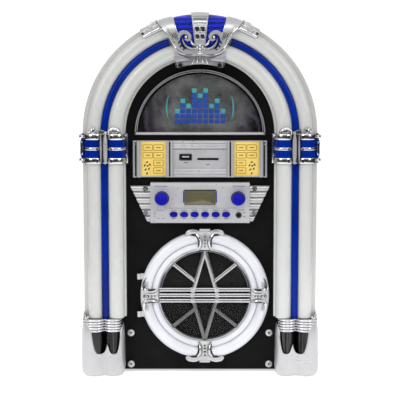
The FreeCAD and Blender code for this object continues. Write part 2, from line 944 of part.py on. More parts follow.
def make_boots():
    """Two round lobes under each column: ridged at the top, flared into a skirt below."""
    for name, side in (("left", -1), ("right", 1)):
        lobes = [(side * d.boot_inner_lobe, d.boot_inner_radius),
                 (side * d.boot_outer_lobe, d.boot_outer_radius)]
        pieces = []
        low_x = d.boot_inner_lobe - d.boot_inner_radius
        high_x = d.boot_outer_lobe + d.boot_outer_radius
        for x, radius in lobes:
            pieces.append(rod("boot_core", radius, (x, d.boot_centre, d.boot_bottom), "z",
                              d.boot_top - d.boot_bottom))
            pieces.append(taper("boot_skirt", (radius + d.boot_flare, radius),
                                (x, d.boot_centre, d.boot_bottom), "z",
                                d.skirt_top - d.boot_bottom))
            for row in range(RIDGES):
                low = d.ridge_first + row * d.ridge_pitch
                pieces.append(rod("boot_ridge", radius + d.ridge_out, (x, d.boot_centre, low), "z",
                                  d.ridge_height))
        xs = (low_x, high_x) if side > 0 else (-high_x, -low_x)
        pieces.append(block("boot_back", xs, (d.boot_centre, d.panel_front),
                            (d.boot_bottom, d.boot_top)))
        node(fused(name + "_boot_pieces", pieces), name + "_boot")


def shell_sector(name, inside, outside, start, end, whole=True):
    """Part of a skin over the arch between two angles up from the right-hand side."""
    return arch_turn(name, None, lambda s: tube_shell(s, 1, inside, outside, whole), start, end)


def make_crown():
    gap, proud = d.crown_gap, d.strap_proud
    centre_half = DIMENSIONS["centre_strap_half"]
    pieces = [shell_sector("centre_strap", gap, proud, 90.0 - centre_half, 90.0 + centre_half)]
    start, end = DIMENSIONS["side_strap_start"], DIMENSIONS["side_strap_end"]
    wing_end, half = DIMENSIONS["wing_end"], DIMENSIONS["bracket_half"]
    pieces.append(shell_sector("right_strap", gap, proud, 90.0 - end, 90.0 - start))
    pieces.append(shell_sector("left_strap", gap, proud, 90.0 + start, 90.0 + end))
    pieces.append(shell_sector("right_wing", gap, d.wing_proud, 90.0 - wing_end, 90.0 - end, False))
    pieces.append(shell_sector("left_wing", gap, d.wing_proud, 90.0 + end, 90.0 + wing_end, False))

    def bracket(sketch):
        rectangle(sketch, (d.bracket_inner, d.tube_inner - gap), (d.bracket_front, d.panel_front))

    pieces.append(arch_turn("crown_bracket", None, bracket, 90.0 - half, 90.0 + half))
    lobe_top = d.lobe_spring - d.inner_lobe_radius - gap
    for x, z, radius in [(0.0, d.rosette_height, d.rosette_radius),
                         (d.volute_side, d.volute_height, d.volute_radius),
                         (-d.volute_side, d.volute_height, d.volute_radius)]:
        pieces.append(rod("crown_boss", radius, (x, d.crown_front, z), "y", lobe_top - d.crown_front))

    def scroll_band(sketch):
        rectangle(sketch, (d.inner_lobe - d.scroll_band_below, d.inner_lobe + d.scroll_band_above),
                  (lobe_top - d.scroll_band_front, lobe_top - d.scroll_band_back))

    pieces.append(arch_turn("scroll_band", None, scroll_band, 90.0 - end, 90.0 + end))
    holes = [rod("bracket_hole", d.shank_radius,
                 (side * d.bracket_screw_side, d.bracket_front - d.over, d.bracket_screw_height), "y",
                 d.panel_front - d.bracket_front + 2.0 * d.over) for side in (-1, 1)]
    node(cut("crown_cast", fused("crown_pieces", pieces), holes), "crown_casting")
    near = centre_half + INSERT_GAP_ANGLE
    far = start - INSERT_GAP_ANGLE
    inserts = [shell_sector("right_insert", gap, d.insert_skin, 90.0 - far, 90.0 - near, False),
               shell_sector("left_insert", gap, d.insert_skin, 90.0 + near, 90.0 + far, False)]
    node(compound("inserts", inserts), "crown_insert")


# ---------------------------------------------------------------- dome

def half_disc(sketch, radius, lift):
    """The part of the dome's circle above a level line, lifted from the circle's centre."""
    foot = (radius * radius - as_size(lift) * lift).root()
    level = d.dome_base + lift
    trace(sketch, [(foot, level), (-foot, level, (0.0, d.dome_base), "left")])


def make_dome():
    frame = new_body("dome_frame_body")
    sketch = front_sketch(frame, "dome_outline", d.panel_front)
    inner = d.dome_radius - d.dome_rim
    half_disc(sketch, d.dome_radius, 0.0)
    half_disc(sketch, inner, d.dome_rim)
    pad(frame, sketch, d.panel_front - d.dome_front)
    node(frame, "dome_frame")

    window = new_body("dome_window_body")
    sketch = front_sketch(window, "dome_pane", d.panel_front - d.pane_sink)
    half_disc(sketch, inner - d.pane_gap, d.dome_rim + d.pane_gap)
    pad(window, sketch, d.pane_thick)
    node(window, "dome_window")

    backdrop = new_body("dome_backdrop_body")
    sketch = front_sketch(backdrop, "dome_card", panel_back + d.backdrop_thick)
    half_disc(sketch, d.dome_radius, 0.0)
    pad(backdrop, sketch, d.backdrop_thick)
    node(backdrop, "dome_backdrop")


# ---------------------------------------------------------------- selection panel

def make_selection_panel():
    plate_front = d.panel_front - d.selection_plate
    zs = (d.selection_bottom, d.selection_top)
    pieces = [block("selection_plate", (-d.selection_half, d.selection_half),
                    (plate_front, d.panel_front), zs)]
    grooves = []
    for side in (-1, 1):
        for near, far in ((d.middle_half, d.card_near), (d.card_far, d.selection_half)):
            xs = (near, far) if side > 0 else (-far, -near)
            pieces.append(block("post", xs, (d.post_front, d.panel_front), zs))
            middle = side * (near + far) / 2.0
            grooves.append(block("post_groove",
                                 (middle - d.groove_width / 2.0, middle + d.groove_width / 2.0),
                                 (d.post_front - d.over, d.post_front + d.groove_deep),
                                 (d.selection_bottom - d.over, d.selection_top + d.over)))
    for row in range(PANEL_RIBS):
        for low in (d.selection_bottom + row * d.rib_pitch,
                    d.selection_top - d.rib_height - row * d.rib_pitch):
            pieces.append(block("rib", (-d.middle_half, d.middle_half),
                                (plate_front - d.rib_proud, d.panel_front), (low, low + d.rib_height)))
    ys = (d.post_front, d.panel_front + d.over)
    usb_wide, usb_tall = d.usb_half_width + d.socket_gap, d.usb_half_height + d.socket_gap
    slot_wide, slot_tall = d.slot_half_width + d.slot_wall, d.slot_half_height + d.slot_wall
    openings = [block("usb_opening", (d.usb_side - usb_wide, d.usb_side + usb_wide), ys,
                      (d.usb_height - usb_tall, d.usb_height + usb_tall)),
                block("card_opening", (d.slot_side - slot_wide, d.slot_side + slot_wide), ys,
                      (d.slot_height - slot_tall, d.slot_height + slot_tall))]
    node(cut("selection", fused("selection_pieces", pieces), grooves + openings), "selection_panel")

    cards = []
    for side in (-1, 1):
        near, far = d.card_near + d.card_gap, d.card_far - d.card_gap
        xs = (near, far) if side > 0 else (-far, -near)
        cards.append(block("card", xs, (plate_front - d.card_thick, plate_front),
                           (d.card_bottom, d.card_top)))
    node(compound("cards", cards), "title_cards")


def make_usb_port():
    front = d.panel_front - d.selection_plate - d.socket_gap
    back = front + d.usb_deep
    xs = (d.usb_side - d.usb_half_width, d.usb_side + d.usb_half_width)
    zs = (d.usb_height - d.usb_half_height, d.usb_height + d.usb_half_height)
    shell = block("usb_shell", xs, (front, back), zs)
    cavity = block("usb_cavity", (xs[0] + d.usb_wall, xs[1] - d.usb_wall),
                   (front - d.over, back - d.usb_floor), (zs[0] + d.usb_wall, zs[1] - d.usb_wall))
    tongue_top = zs[1] - d.usb_wall - d.tongue_drop
    tongue = block("usb_tongue", (xs[0] + d.over, xs[1] - d.over), (front + d.over, back - d.over),
                   (tongue_top - d.usb_tongue, tongue_top))
    node(fused("usb", [cut("usb_socket", shell, [cavity]), tongue]), "usb_port")


def make_card_slot():
    front = d.panel_front - d.selection_plate - d.card_gap
    back = front + d.slot_deep
    wide = d.slot_half_width + d.slot_wall
    tall = d.slot_half_height + d.slot_wall
    case = block("slot_case", (d.slot_side - wide, d.slot_side + wide), (front, back),
                 (d.slot_height - tall, d.slot_height + tall))
    cavity = block("slot_cavity", (d.slot_side - d.slot_half_width, d.slot_side + d.slot_half_width),
                   (front - d.over, back - d.over),
                   (d.slot_height - d.slot_half_height, d.slot_height + d.slot_half_height))
    node(cut("slot", case, [cavity]), "card_slot")


# ---------------------------------------------------------------- control panel

def oval(sketch, x, z, half, radius):
    """A flat-sided oval: two half circles joined by short straights."""
    trace(sketch, [
        (x + half, z - radius),
        (x + half, z + radius, (x + half, z), "left"),
        (x - half, z + radius),
        (x - half, z - radius, (x - half, z), "left"),
    ])


def make_control_panel():
    body = new_body("control_body")
    profile = side_sketch(body, "control_profile")
    trace(profile, [
        (d.panel_front, d.control_bottom),
        (d.control_front, d.control_bottom),
        (d.control_front, d.control_top - d.control_bevel),
        (d.control_front + d.control_bevel, d.control_top),
        (d.panel_front, d.control_top),
    ])
    pad(body, profile, 2.0 * d.control_half, middle=True)
    inner = side_sketch(body, "control_hollow")
    rectangle(inner, (d.control_front + d.control_wall, d.panel_front + d.over),
              (d.control_bottom + d.control_wall, d.control_top - d.control_roof))
    pocket(body, inner, 2.0 * (d.control_half - d.control_wall), middle=True)
    face = front_sketch(body, "control_openings", d.control_front)
    rectangle(face, (-d.display_half, d.display_half), (d.display_bottom, d.display_top))
    for side in (-1, 1):
        ring_line(face, side * d.knob_side, d.knob_height, d.shaft_radius + d.button_gap)
    for row in range(BUTTONS):
        oval(face, d.button_first + row * d.button_pitch, d.button_height, d.button_half,
             d.button_radius + d.button_gap)
    ring_line(face, d.jack_side, d.jack_height, d.jack_body + d.jack_gap)
    pocket(body, face, d.control_wall + d.lap)
    node(body, "control_panel")


def make_panel_wings():
    """Half-round ribs on each side, each shorter than the one above."""
    wings = []
    for side in (-1, 1):
        pieces = []
        for row in range(WING_RIBS):
            height = d.wing_top - row * d.wing_pitch
            reach = d.wing_reach - row * d.wing_step
            low = d.wing_inner if side > 0 else -reach
            pieces.append(rod("wing_rib", d.wing_rib, (low, d.wing_centre, height), "x",
                              reach - d.wing_inner))
            xs = (d.wing_inner, reach) if side > 0 else (-reach, -d.wing_inner)
            pieces.append(block("wing_plate", xs, (d.wing_centre, d.panel_front),
                                (height - d.wing_pitch / 2.0, height + d.wing_pitch / 2.0)))
        rib_front = d.wing_centre - d.wing_rib
        holes = [rod("wing_hole", d.shank_radius, (x, rib_front - d.over, z), "y",
                     d.panel_front - rib_front + 2.0 * d.over)
                 for x, z in front_screw_places()[1] if (x.value > 0) == (side > 0)]
        wings.append(cut("wing", fused("wing_pieces", pieces), holes))
    node(compound("wings", wings), "panel_wings")


def make_display():
    gap = d.display_gap
    lens = block("display", (-d.display_half + gap, d.display_half - gap),
                 (d.control_front + d.display_sink, d.control_front + d.display_thick),
                 (d.display_bottom + gap, d.display_top - gap))
    node(lens, "display_window")


def make_knobs():
    for name, side in (("tuning", -1), ("volume", 1)):
        body = new_body(name + "_knob_body")
        sketch = plan_sketch(body, name + "_knob_profile", 0.0)
        edge = d.knob_edge
        trace(sketch, [
            (0.0, d.shaft_end),
            (0.0, d.knob_front),
            (d.knob_radius - edge, d.knob_front),
            (d.knob_radius, d.knob_front + edge),
            (d.knob_radius, d.knob_back),
            (d.shaft_radius, d.knob_back),
            (d.shaft_radius, d.shaft_end),
        ])
        revolve(body, sketch)
        bind(body, "Placement.Base.x", side * d.knob_side)
        bind(body, "Placement.Base.z", d.knob_height)
        node(body, name + "_knob")


def make_encoders():
    encoders = []
    for side in (-1, 1):
        centre = side * d.knob_side
        case = block("encoder", (centre - d.encoder_half, centre + d.encoder_half),
                     (d.encoder_front, d.board_front),
                     (d.knob_height - d.encoder_half, d.knob_height + d.encoder_half))
        bore = rod("encoder_bore", d.shaft_radius + d.running_gap,
                   (centre, d.encoder_front - d.over, d.knob_height), "y",
                   d.shaft_end - d.encoder_front + d.over + d.encoder_floor)
        encoders.append(cut("encoder_case", case, [bore]))
    node(compound("encoders", encoders), "rotary_controls")


def make_buttons():
    for row in range(BUTTONS):
        centre = d.button_first + row * d.button_pitch
        body = new_body(f"button_body_{row + 1}")
        cap = front_sketch(body, f"button_cap_{row + 1}", d.button_back)
        oval(cap, centre, d.button_height, d.button_half, d.button_radius)
        pad(body, cap, d.button_back - d.button_front)
        inner_face = d.control_front + d.control_wall
        flange = front_sketch(body, f"button_flange_{row + 1}",
                              inner_face + d.jack_gap + d.flange_thick)
        oval(flange, centre, d.button_height, d.button_half, d.button_radius + d.flange_out)
        pad(body, flange, d.flange_thick)
        node(body, f"button_{row + 1}")


def make_control_board():
    back = d.board_front + d.board_thick
    edge = d.control_half - d.control_wall - d.over
    board = block("board", (-edge, edge), (d.board_front, back),
                  (d.control_bottom + d.control_wall + d.board_below,
                   d.control_top - d.control_wall - d.board_above))
    parts = [board]
    for row in range(BUTTONS):
        centre = d.button_first + row * d.button_pitch
        parts.append(block("tact", (centre - d.switch_half, centre + d.switch_half),
                           (d.board_front - d.switch_thick, d.board_front),
                           (d.button_height - d.switch_half, d.button_height + d.switch_half)))
    half = d.display_half + d.display_frame
    parts.append(block("display_module", (-half, half),
                       (d.control_front + d.control_wall + d.lap, d.board_front),
                       (d.display_bottom - d.display_frame, d.display_top + d.display_frame / 2.0)))
    clear = rod("board_hole", d.jack_body + d.jack_board_gap,
                (d.jack_side, d.board_front - d.over, d.jack_height), "y",
                d.board_thick + 2.0 * d.over)
    node(cut("control_electronics", fused("board_parts", parts), [clear]), "control_board")


def make_audio_jack():
    barrel = rod("jack_barrel", d.jack_body, (d.jack_side, d.jack_front, d.jack_height), "y",
                 d.jack_back - d.jack_front)
    bezel = rod("jack_ring", d.jack_bezel, (d.jack_side, d.jack_front, d.jack_height), "y",
                d.control_front - d.jack_front)
    bore = rod("jack_hole", d.jack_bore, (d.jack_side, d.jack_front - d.over, d.jack_height), "y",
               d.jack_deep + d.over)
    node(cut("jack", fused("jack_pieces", [barrel, bezel]), [bore]), "audio_jack")


# ---------------------------------------------------------------- CD door

def door_turn(name, draw, start=0.0, angle=360.0):
    """A section turned about the door's centre, from an angle up from the right-hand side."""
    body = new_body(name + "_body")
    sketch = plan_sketch(body, name + "_section", 0.0)
    draw(sketch)
    revolve(body, sketch, angle)
    body.Placement = Placement(Vector(), Rotation(Vector(0, 1, 0), -start))
    bind(body, "Placement.Base.x", d.door_side)
    bind(body, "Placement.Base.z", d.door_height)
    return body


def ring_path(out):
    """The ring's front outline grown by out: a small round next to the window, then a large one,
    meeting in a crease."""
    spring = d.ring_spring
    small = (d.ring_groove - d.ring_inner) / 2.0
    large = (d.ring_outer - d.ring_groove) / 2.0
    small_centre, large_centre = d.ring_inner + small, d.ring_groove + large
    apart = large_centre - small_centre
    small, large = small + out, large + out
    along = (apart * apart + small * small - large * large) / (2.0 * apart)
    rise = (small * small - along * along).root()
    return [
        (small_centre - small, spring),
        (small_centre + along, spring - rise, (small_centre, spring), "left"),
        (large_centre + large, spring, (large_centre, spring), "left"),
        (large_centre + large, d.door_back),
    ]


def make_door():
    def ring(sketch):
        path = ring_path(as_size(0.0))
        rebate = d.door_back - d.rebate_deep
        trace(sketch, path + [(d.rebate_radius, d.door_back), (d.rebate_radius, rebate),
                              (d.ring_inner, rebate)])

    node(door_turn("door_ring", ring), "door_ring")

    pane = rod("door_pane", d.window_radius,
               (d.door_side, d.door_back - d.window_thick - d.window_gap, d.door_height), "y",
               d.window_thick)
    node(pane, "door_window")


def bar_corners(start, end, width):
    """The four corners of a straight bar between two points."""
    run = (end[0] - start[0], end[1] - start[1])
    half = width / 2.0 / math.hypot(*run)
    side = (-run[1] * half, run[0] * half)
    return [(start[0] + side[0], start[1] + side[1]), (start[0] - side[0], start[1] - side[1]),
            (end[0] - side[0], end[1] - side[1]), (end[0] + side[0], end[1] + side[1])]


# A spoke leaves the diamond's side this share of the way out from its tip, and leans this far over.
KNEE_SHARE = 0.66
SPOKE_TURN = math.radians(41.0)


def make_door_grille():
    """A rim with a tall diamond, four spokes and three bars, all one casting."""
    body = new_body("grille_body")
    rim = front_sketch(body, "grille_rim", d.grille_back)
    ring_line(rim, 0.0, 0.0, d.ring_inner - d.lap / 2.0)
    ring_line(rim, 0.0, 0.0, d.bezel_inner)
    pad(body, rim, d.grille_back - d.grille_front)
    apex = DIMENSIONS["bezel_inner"] + DIMENSIONS["bar_reach"]
    half = DIMENSIONS["diamond_half"]
    knee = (half * KNEE_SHARE, apex * (1.0 - KNEE_SHARE))
    reach = (apex * math.sin(SPOKE_TURN), apex * math.cos(SPOKE_TURN))
    for across in (-1, 1):
        for up in (-1, 1):
            lines = [((0.0, up * apex), (across * half, 0.0), DIMENSIONS["diamond_bar"]),
                     ((across * reach[0], up * reach[1]), (across * knee[0], up * knee[1]),
                      DIMENSIONS["spoke_bar"])]
            for start, end, width in lines:
                sketch = front_sketch(body, "grille_bar", d.bar_back)
                corners = bar_corners(start, end, width)
                trace(sketch, corners if across * up > 0 else corners[::-1])
                pad(body, sketch, d.bar_back - d.grille_front - d.bar_sink)
    for row in (-1, 0, 1):
        sketch = front_sketch(body, "grille_rail", d.bar_back)
        wide = d.bezel_inner + d.rail_reach
        rectangle(sketch, (-wide, wide),
                  (row * d.bar_pitch - d.bar_height / 2.0, row * d.bar_pitch + d.bar_height / 2.0))
        pad(body, sketch, d.bar_back - d.grille_front)
    bind(body, "Placement.Base.x", d.door_side)
    bind(body, "Placement.Base.z", d.door_height)
    node(body, "door_grille")


# Each ornament's name, angle round the door, half angles of its strap and clasp, and direction up.
ORNAMENTS = (("upper", 90.0, 7.0, 9.5, 1), ("lower", 270.0, 7.0, 9.5, -1),
             ("left", 180.0, 7.5, 14.0, 0), ("right", 0.0, 7.5, 14.0, 0))


def make_door_ornaments():
    """Four clasps over the ring; the upper and lower ones spread into scrolls past its edge."""
    gap, skin = d.ornament_gap, d.ornament_skin
    small = (d.ring_groove - d.ring_inner) / 2.0
    large = (d.ring_outer - d.ring_groove) / 2.0
    centre = d.ring_groove + large
    spring = d.ring_spring

    def strap_path(out):
        steps = ring_path(out)
        steps[0] = (d.ring_inner + small, spring - small - out)
        return steps

    def strap(sketch):
        trace(sketch, strap_path(skin) + backwards(strap_path(gap)))

    def clasp(sketch):
        outer, inner = large + skin - d.clasp_sink, large + d.clasp_sink
        trace(sketch, [
            (centre + outer, d.door_back),
            (centre + inner, d.door_back),
            (centre + inner, spring),
            (centre, spring - inner, (centre, spring), "right"),
            (centre, spring - outer),
            (centre + outer, spring, (centre, spring), "left"),
        ])

    ornaments = []
    for name, angle, strap_half, clasp_half, up in ORNAMENTS:
        pieces = [door_turn(name + "_strap", strap, angle - strap_half, 2.0 * strap_half),
                  door_turn(name + "_clasp", clasp, angle - clasp_half, 2.0 * clasp_half)]
        if up:
            near, far = d.ring_outer + 2.0 * gap, d.ornament_reach
            zs = (d.door_height + near, d.door_height + far)
            if up < 0:
                zs = (d.door_height - far, d.door_height - near)
            pieces.append(block(name + "_cap", (d.door_side - d.cap_half, d.door_side + d.cap_half),
                                (d.ornament_front, d.door_back), zs))
            for side in (-1, 1):
                pieces.append(rod(name + "_scroll", d.scroll_radius,
                                  (d.door_side + side * d.scroll_side, d.ornament_front,
                                   d.door_height + up * (d.ring_outer + d.scroll_out)), "y",
                                  d.door_back - d.ornament_front))
        ornaments.append(fused(name + "_ornament", pieces))
    node(compound("ornaments", ornaments), "door_ornaments")


def make_hinge():
    """Two knuckles on the door turn on fixed pins, each held between two ears. All four ears stand on
    one tall plate on the panel."""
    knuckles, pins, holes = [], [], []
    axis = (d.hinge_side, d.hinge_depth)
    ear_low = d.knuckle_half + d.ear_gap
    ear_high = ear_low + d.ear_thick
    bracket = [block("hinge_leaf", (d.hinge_side - d.leaf_outer, d.hinge_side + d.leaf_inner),
                     (d.panel_front - d.leaf_thick, d.panel_front),
                     (d.door_height - d.leaf_half, d.door_height + d.leaf_half))]
    for up in (-1, 1):
        height = d.door_height + up * d.hinge_offset
        low = height - d.knuckle_half
        barrel = rod("knuckle", d.knuckle_radius, (*axis, low), "z", 2.0 * d.knuckle_half)
        arm = block("knuckle_arm", (d.hinge_side, d.hinge_side + d.knuckle_arm),
                    (d.hinge_depth, d.hinge_depth + d.knuckle_arm_thick),
                    (low, low + 2.0 * d.knuckle_half))
        bore = rod("knuckle_bore", d.pin_radius + d.running_gap, (*axis, low - d.over), "z",
                   2.0 * (d.knuckle_half + d.over))
        knuckles.append(cut("door_knuckle", fused("knuckle_pieces", [barrel, arm]), [bore]))
        for base in (height + ear_low, height - ear_high):
            bracket.append(rod("ear", d.knuckle_radius, (*axis, base), "z", d.ear_thick))
            bracket.append(block("ear_web", (d.hinge_side - d.ear_web_half, d.hinge_side + d.ear_web_half),
                                 (d.hinge_depth, d.panel_front), (base, base + d.ear_thick)))
        pin_low = height - ear_high
        holes.append(rod("ear_bore", d.pin_radius, (*axis, pin_low - d.over), "z",
                         2.0 * (ear_high + d.over)))
        pins.append(rod("pin", d.pin_radius, (*axis, pin_low), "z", 2.0 * ear_high))
    node(compound("knuckles", knuckles), "door_knuckles")
    node(cut("hinge_bracket", fused("bracket_pieces", bracket), holes), "hinge_brackets")
    node(compound("pins", pins), "hinge_pins")


def make_door_catch():
    magnet = rod("magnet", d.catch_radius,
                 (d.door_side + d.catch_side, d.catch_front, d.door_height), "y", d.catch_long)
    node(magnet, "door_catch")


# ---------------------------------------------------------------- CD deck

def deck_point(side, height):
    """A place given from the disc's centre."""
    return d.door_side + side, d.door_height + height


def make_cd_deck():
    x, z = deck_point(0.0, 0.0)
    cup = rod("tray", d.tray_outer, (x, d.tray_front, z), "y", d.tray_back - d.tray_front)
    hollow = rod("tray_hollow", d.tray_inner, (x, d.tray_front - d.over, z), "y",
                 d.tray_floor - d.tray_front + d.over)
    pieces = [cut("tray_cup", cup, [hollow])]
    depth_back = d.rail_depth + d.rail_radius + d.post_back
    for side in (d.rail_start, d.rail_end - d.rail_post):
        for up in (-1, 1):
            px, pz = deck_point(side, up * d.rail_offset)
            pieces.append(block("rail_post", (px, px + d.rail_post),
                                (d.tray_back - d.post_lap, depth_back),
                                (pz - d.post_half, pz + d.post_half)))
    ys = (d.tray_floor - d.over, d.tray_back + d.over)
    tools = [rod("hub_opening", d.hub_hole, (x, ys[0], z), "y", ys[1] - ys[0]),
             block("lens_slot", (x + d.slot_start, x + d.slot_end), ys,
                   (z - d.slot_half, z + d.slot_half))]
    for up in (-1, 1):
        rx, rz = deck_point(d.rail_start, up * d.rail_offset)
        tools.append(rod("rail_hole", d.rail_radius, (rx - d.over, d.rail_depth, rz), "x",
                         d.rail_end - d.rail_start + 2.0 * d.over))
    node(cut("deck", fused("deck_pieces", pieces), tools), "cd_deck")


def make_sled_rails():
    rails = []
    for up in (-1, 1):
        x, z = deck_point(d.rail_start, up * d.rail_offset)
        rails.append(rod("rail", d.rail_radius, (x, d.rail_depth, z), "x", d.rail_end - d.rail_start))
    node(compound("rails", rails), "sled_rails")


def make_turntable():
    body = new_body("turntable_body")
    sketch = plan_sketch(body, "turntable_profile", 0.0)
    trace(sketch, [
        (0.0, d.spindle_end),
        (0.0, d.boss_top),
        (d.boss_radius - d.boss_bevel, d.boss_top),
        (d.boss_radius, d.boss_top + d.boss_bevel),
        (d.boss_radius, d.hub_top),
        (d.hub_radius, d.hub_top),
        (d.hub_radius, d.hub_back),
        (d.spindle_radius, d.hub_back),
        (d.spindle_radius, d.spindle_end),
    ])
    revolve(body, sketch)
    bind(body, "Placement.Base.x", d.door_side)
    bind(body, "Placement.Base.z", d.door_height)
    node(body, "turntable_hub")


def make_motors():
    """The spindle motor behind the hub, and the smaller one that drives the sled's gear."""
    x, z = deck_point(0.0, 0.0)
    spindle = cut("spindle_motor", rod("spindle_case", d.motor_radius, (x, d.motor_front, z), "y",
                                       d.motor_back - d.motor_front),
                  [rod("spindle_bore", d.spindle_radius + d.running_gap,
                       (x, d.motor_front - d.over, z), "y",
                       d.spindle_end - d.motor_front + 1.5 * d.over)])
    x, z = gear_centre()
    sled = cut("sled_motor", rod("sled_case", d.sled_motor_radius, (x, d.sled_motor_front, z), "y",
                                 d.sled_motor_back - d.sled_motor_front),
               [rod("sled_bore", d.spindle_radius + d.running_gap,
                    (x, d.sled_motor_front - d.over, z), "y", d.sled_shaft + 1.5 * d.over)])
    node(compound("motors", [spindle, sled]), "cd_motors")


def gear_centre():
    """The gear's pitch circle touches the rack's pitch line, below the rack."""
    return deck_point(d.gear_side, -(d.rack_back + d.rack_thick + d.pitch_gap) - d.gear_radius)


def tooth_pitch():
    return 2.0 * math.pi * DIMENSIONS["gear_radius"] / GEAR_TEETH


def make_sled():
    x, z = deck_point(0.0, 0.0)
    start, end = x + d.sled_start, x + d.sled_start + d.sled_long
    pieces = [block("sled_frame", (start, end), (d.sled_front, d.sled_back),
                    (z - d.sled_half, z + d.sled_half)),
              rod("lens", d.lens_radius, (x + d.lens_start, d.lens_top, z), "y",
                  d.sled_front - d.lens_top + d.post_lap),
              block("rack", (start, x + d.rack_end), (d.gear_front, d.gear_back),
                    (z - d.rack_back - d.rack_thick, z - d.rack_back)),
              block("rack_arm", (start, end), (d.gear_front, d.gear_back),
                    (z - d.rack_back - d.post_lap, z - d.sled_half + d.post_lap))]
    pitch = tooth_pitch()
    root = z - d.rack_back - d.rack_thick
    count = int((DIMENSIONS["rack_end"] - DIMENSIONS["sled_start"]) / pitch)
    for row in range(count):
        middle = x + d.gear_side - pitch * (count - 1.5 - row)
        pieces.append(block("rack_tooth", (middle - d.tooth_wide / 2.0, middle + d.tooth_wide / 2.0),
                            (d.gear_front, d.gear_back),
                            (root - d.pitch_gap - d.tooth_high, root + d.lap)))
    bores = []
    for up in (-1, 1):
        rx, rz = deck_point(d.sled_start, up * d.rail_offset)
        bores.append(rod("sled_bore", d.rail_radius + d.running_gap, (rx - d.over, d.rail_depth, rz),
                         "x", d.sled_long + 2.0 * d.over))
    node(cut("sled", fused("sled_pieces", pieces), bores), "laser_sled")


def make_sled_gear():
    """Sixteen slim teeth; one points straight up at rest, between two rack teeth."""
    x, z = gear_centre()
    thick = d.gear_back - d.gear_front
    pieces = [rod("gear_blank", d.gear_radius - d.pitch_gap, (x, d.gear_front, z), "y", thick),
              rod("gear_shaft", d.spindle_radius, (x, d.gear_front, z), "y",
                  d.sled_motor_front + d.sled_shaft - d.gear_front)]
    for row in range(GEAR_TEETH):
        angle = 360.0 / GEAR_TEETH * row
        tooth = doc.addObject("Part::Box", "gear_tooth")
        bind(tooth, "Length", d.tooth_wide)
        bind(tooth, "Width", thick)
        bind(tooth, "Height", d.tooth_high + d.tooth_root)
        turn = Rotation(Vector(0, 1, 0), angle)
        corner = turn.multVec(Vector(-DIMENSIONS["tooth_wide"] / 2.0, 0.0,
                                     DIMENSIONS["gear_radius"] - DIMENSIONS["tooth_root"]))
        place(tooth, x + corner.x, d.gear_front, z + corner.z, turn)
        pieces.append(tooth)
    node(fused("gear_pieces", pieces), "sled_gear")


# ---------------------------------------------------------------- speakers and electronics

def sideways(name, side, radii, start, length):
    """A round piece along X on one side. radii holds its inner and outer end, start is its distance
    from the middle."""
    low = start if side > 0 else -start - length
    at = (low, d.speaker_depth, d.speaker_height)
    near, far = radii if side > 0 else radii[::-1]
    if near.value == far.value:
        return rod(name, near, at, "x", length)
    return taper(name, (near, far), at, "x", length)


def speaker_driver(side):
    """A flange, a basket that narrows inwards and a magnet, with a hollow for the cone."""
    wall = inner_half - d.speaker_gap
    start = wall - d.flange_deep - d.basket_deep
    pieces = [sideways("flange", side, (d.speaker_flange, d.speaker_flange), wall - d.flange_deep,
                       d.flange_deep),
              sideways("basket", side, (d.basket_near, d.basket_far), start, d.basket_deep),
              sideways("magnet", side, (d.magnet_radius, d.magnet_radius), start - d.magnet_thick,
                       d.magnet_thick)]
    hollow = sideways("basket_hollow", side,
                      (d.cone_throat + d.basket_wall, d.speaker_hole - d.basket_wall),
                      start + d.basket_wall, d.basket_deep + d.flange_deep - d.basket_wall + d.lap)
    return cut("driver", fused("driver_pieces", pieces), [hollow])


def speaker_cone(side):
    """A thin cone that stands just clear of the basket's floor."""
    foot = inner_half - d.speaker_gap - d.flange_deep - d.basket_deep + d.basket_wall + d.cone_gap
    deep = d.basket_deep + d.flange_deep - d.basket_wall - 2.0 * d.cone_gap
    cone = sideways("cone", side, (d.cone_near, d.cone_far), foot, deep)
    inside = sideways("cone_inside", side, (d.cone_near - d.cone_skin, d.cone_far - d.cone_skin),
                      foot + d.over, deep - d.over + d.cone_gap)
    return cut("paper_cone", cone, [inside])


def speaker_grille(side):
    """A round plate on the cabinet's side with level slots."""
    outer = d.cabinet_half
    plate = sideways("grille_plate", side, (d.grille_radius, d.grille_radius), outer, d.grille_thick)
    low = outer - d.over if side > 0 else -outer - d.grille_thick - d.over
    slots = []
    for row in GRILLE_SLOTS:
        rise = row * DIMENSIONS["grille_pitch"]
        reach = GRILLE_FILL * math.sqrt(DIMENSIONS["grille_radius"] ** 2 - rise ** 2)
        middle = d.speaker_height + row * d.grille_pitch
        slots.append(block("grille_slot", (low, low + d.grille_thick + 2.0 * d.over),
                           (d.speaker_depth - reach, d.speaker_depth + reach),
                           (middle - d.grille_slot_half, middle + d.grille_slot_half)))
    return cut("speaker_grille", plate, slots)


def make_speakers():
    for label, make in (("speaker_drivers", speaker_driver), ("speaker_cones", speaker_cone),
                        ("speaker_grilles", speaker_grille)):
        node(compound(label + "_pair", [make(side) for side in (-1, 1)]), label)


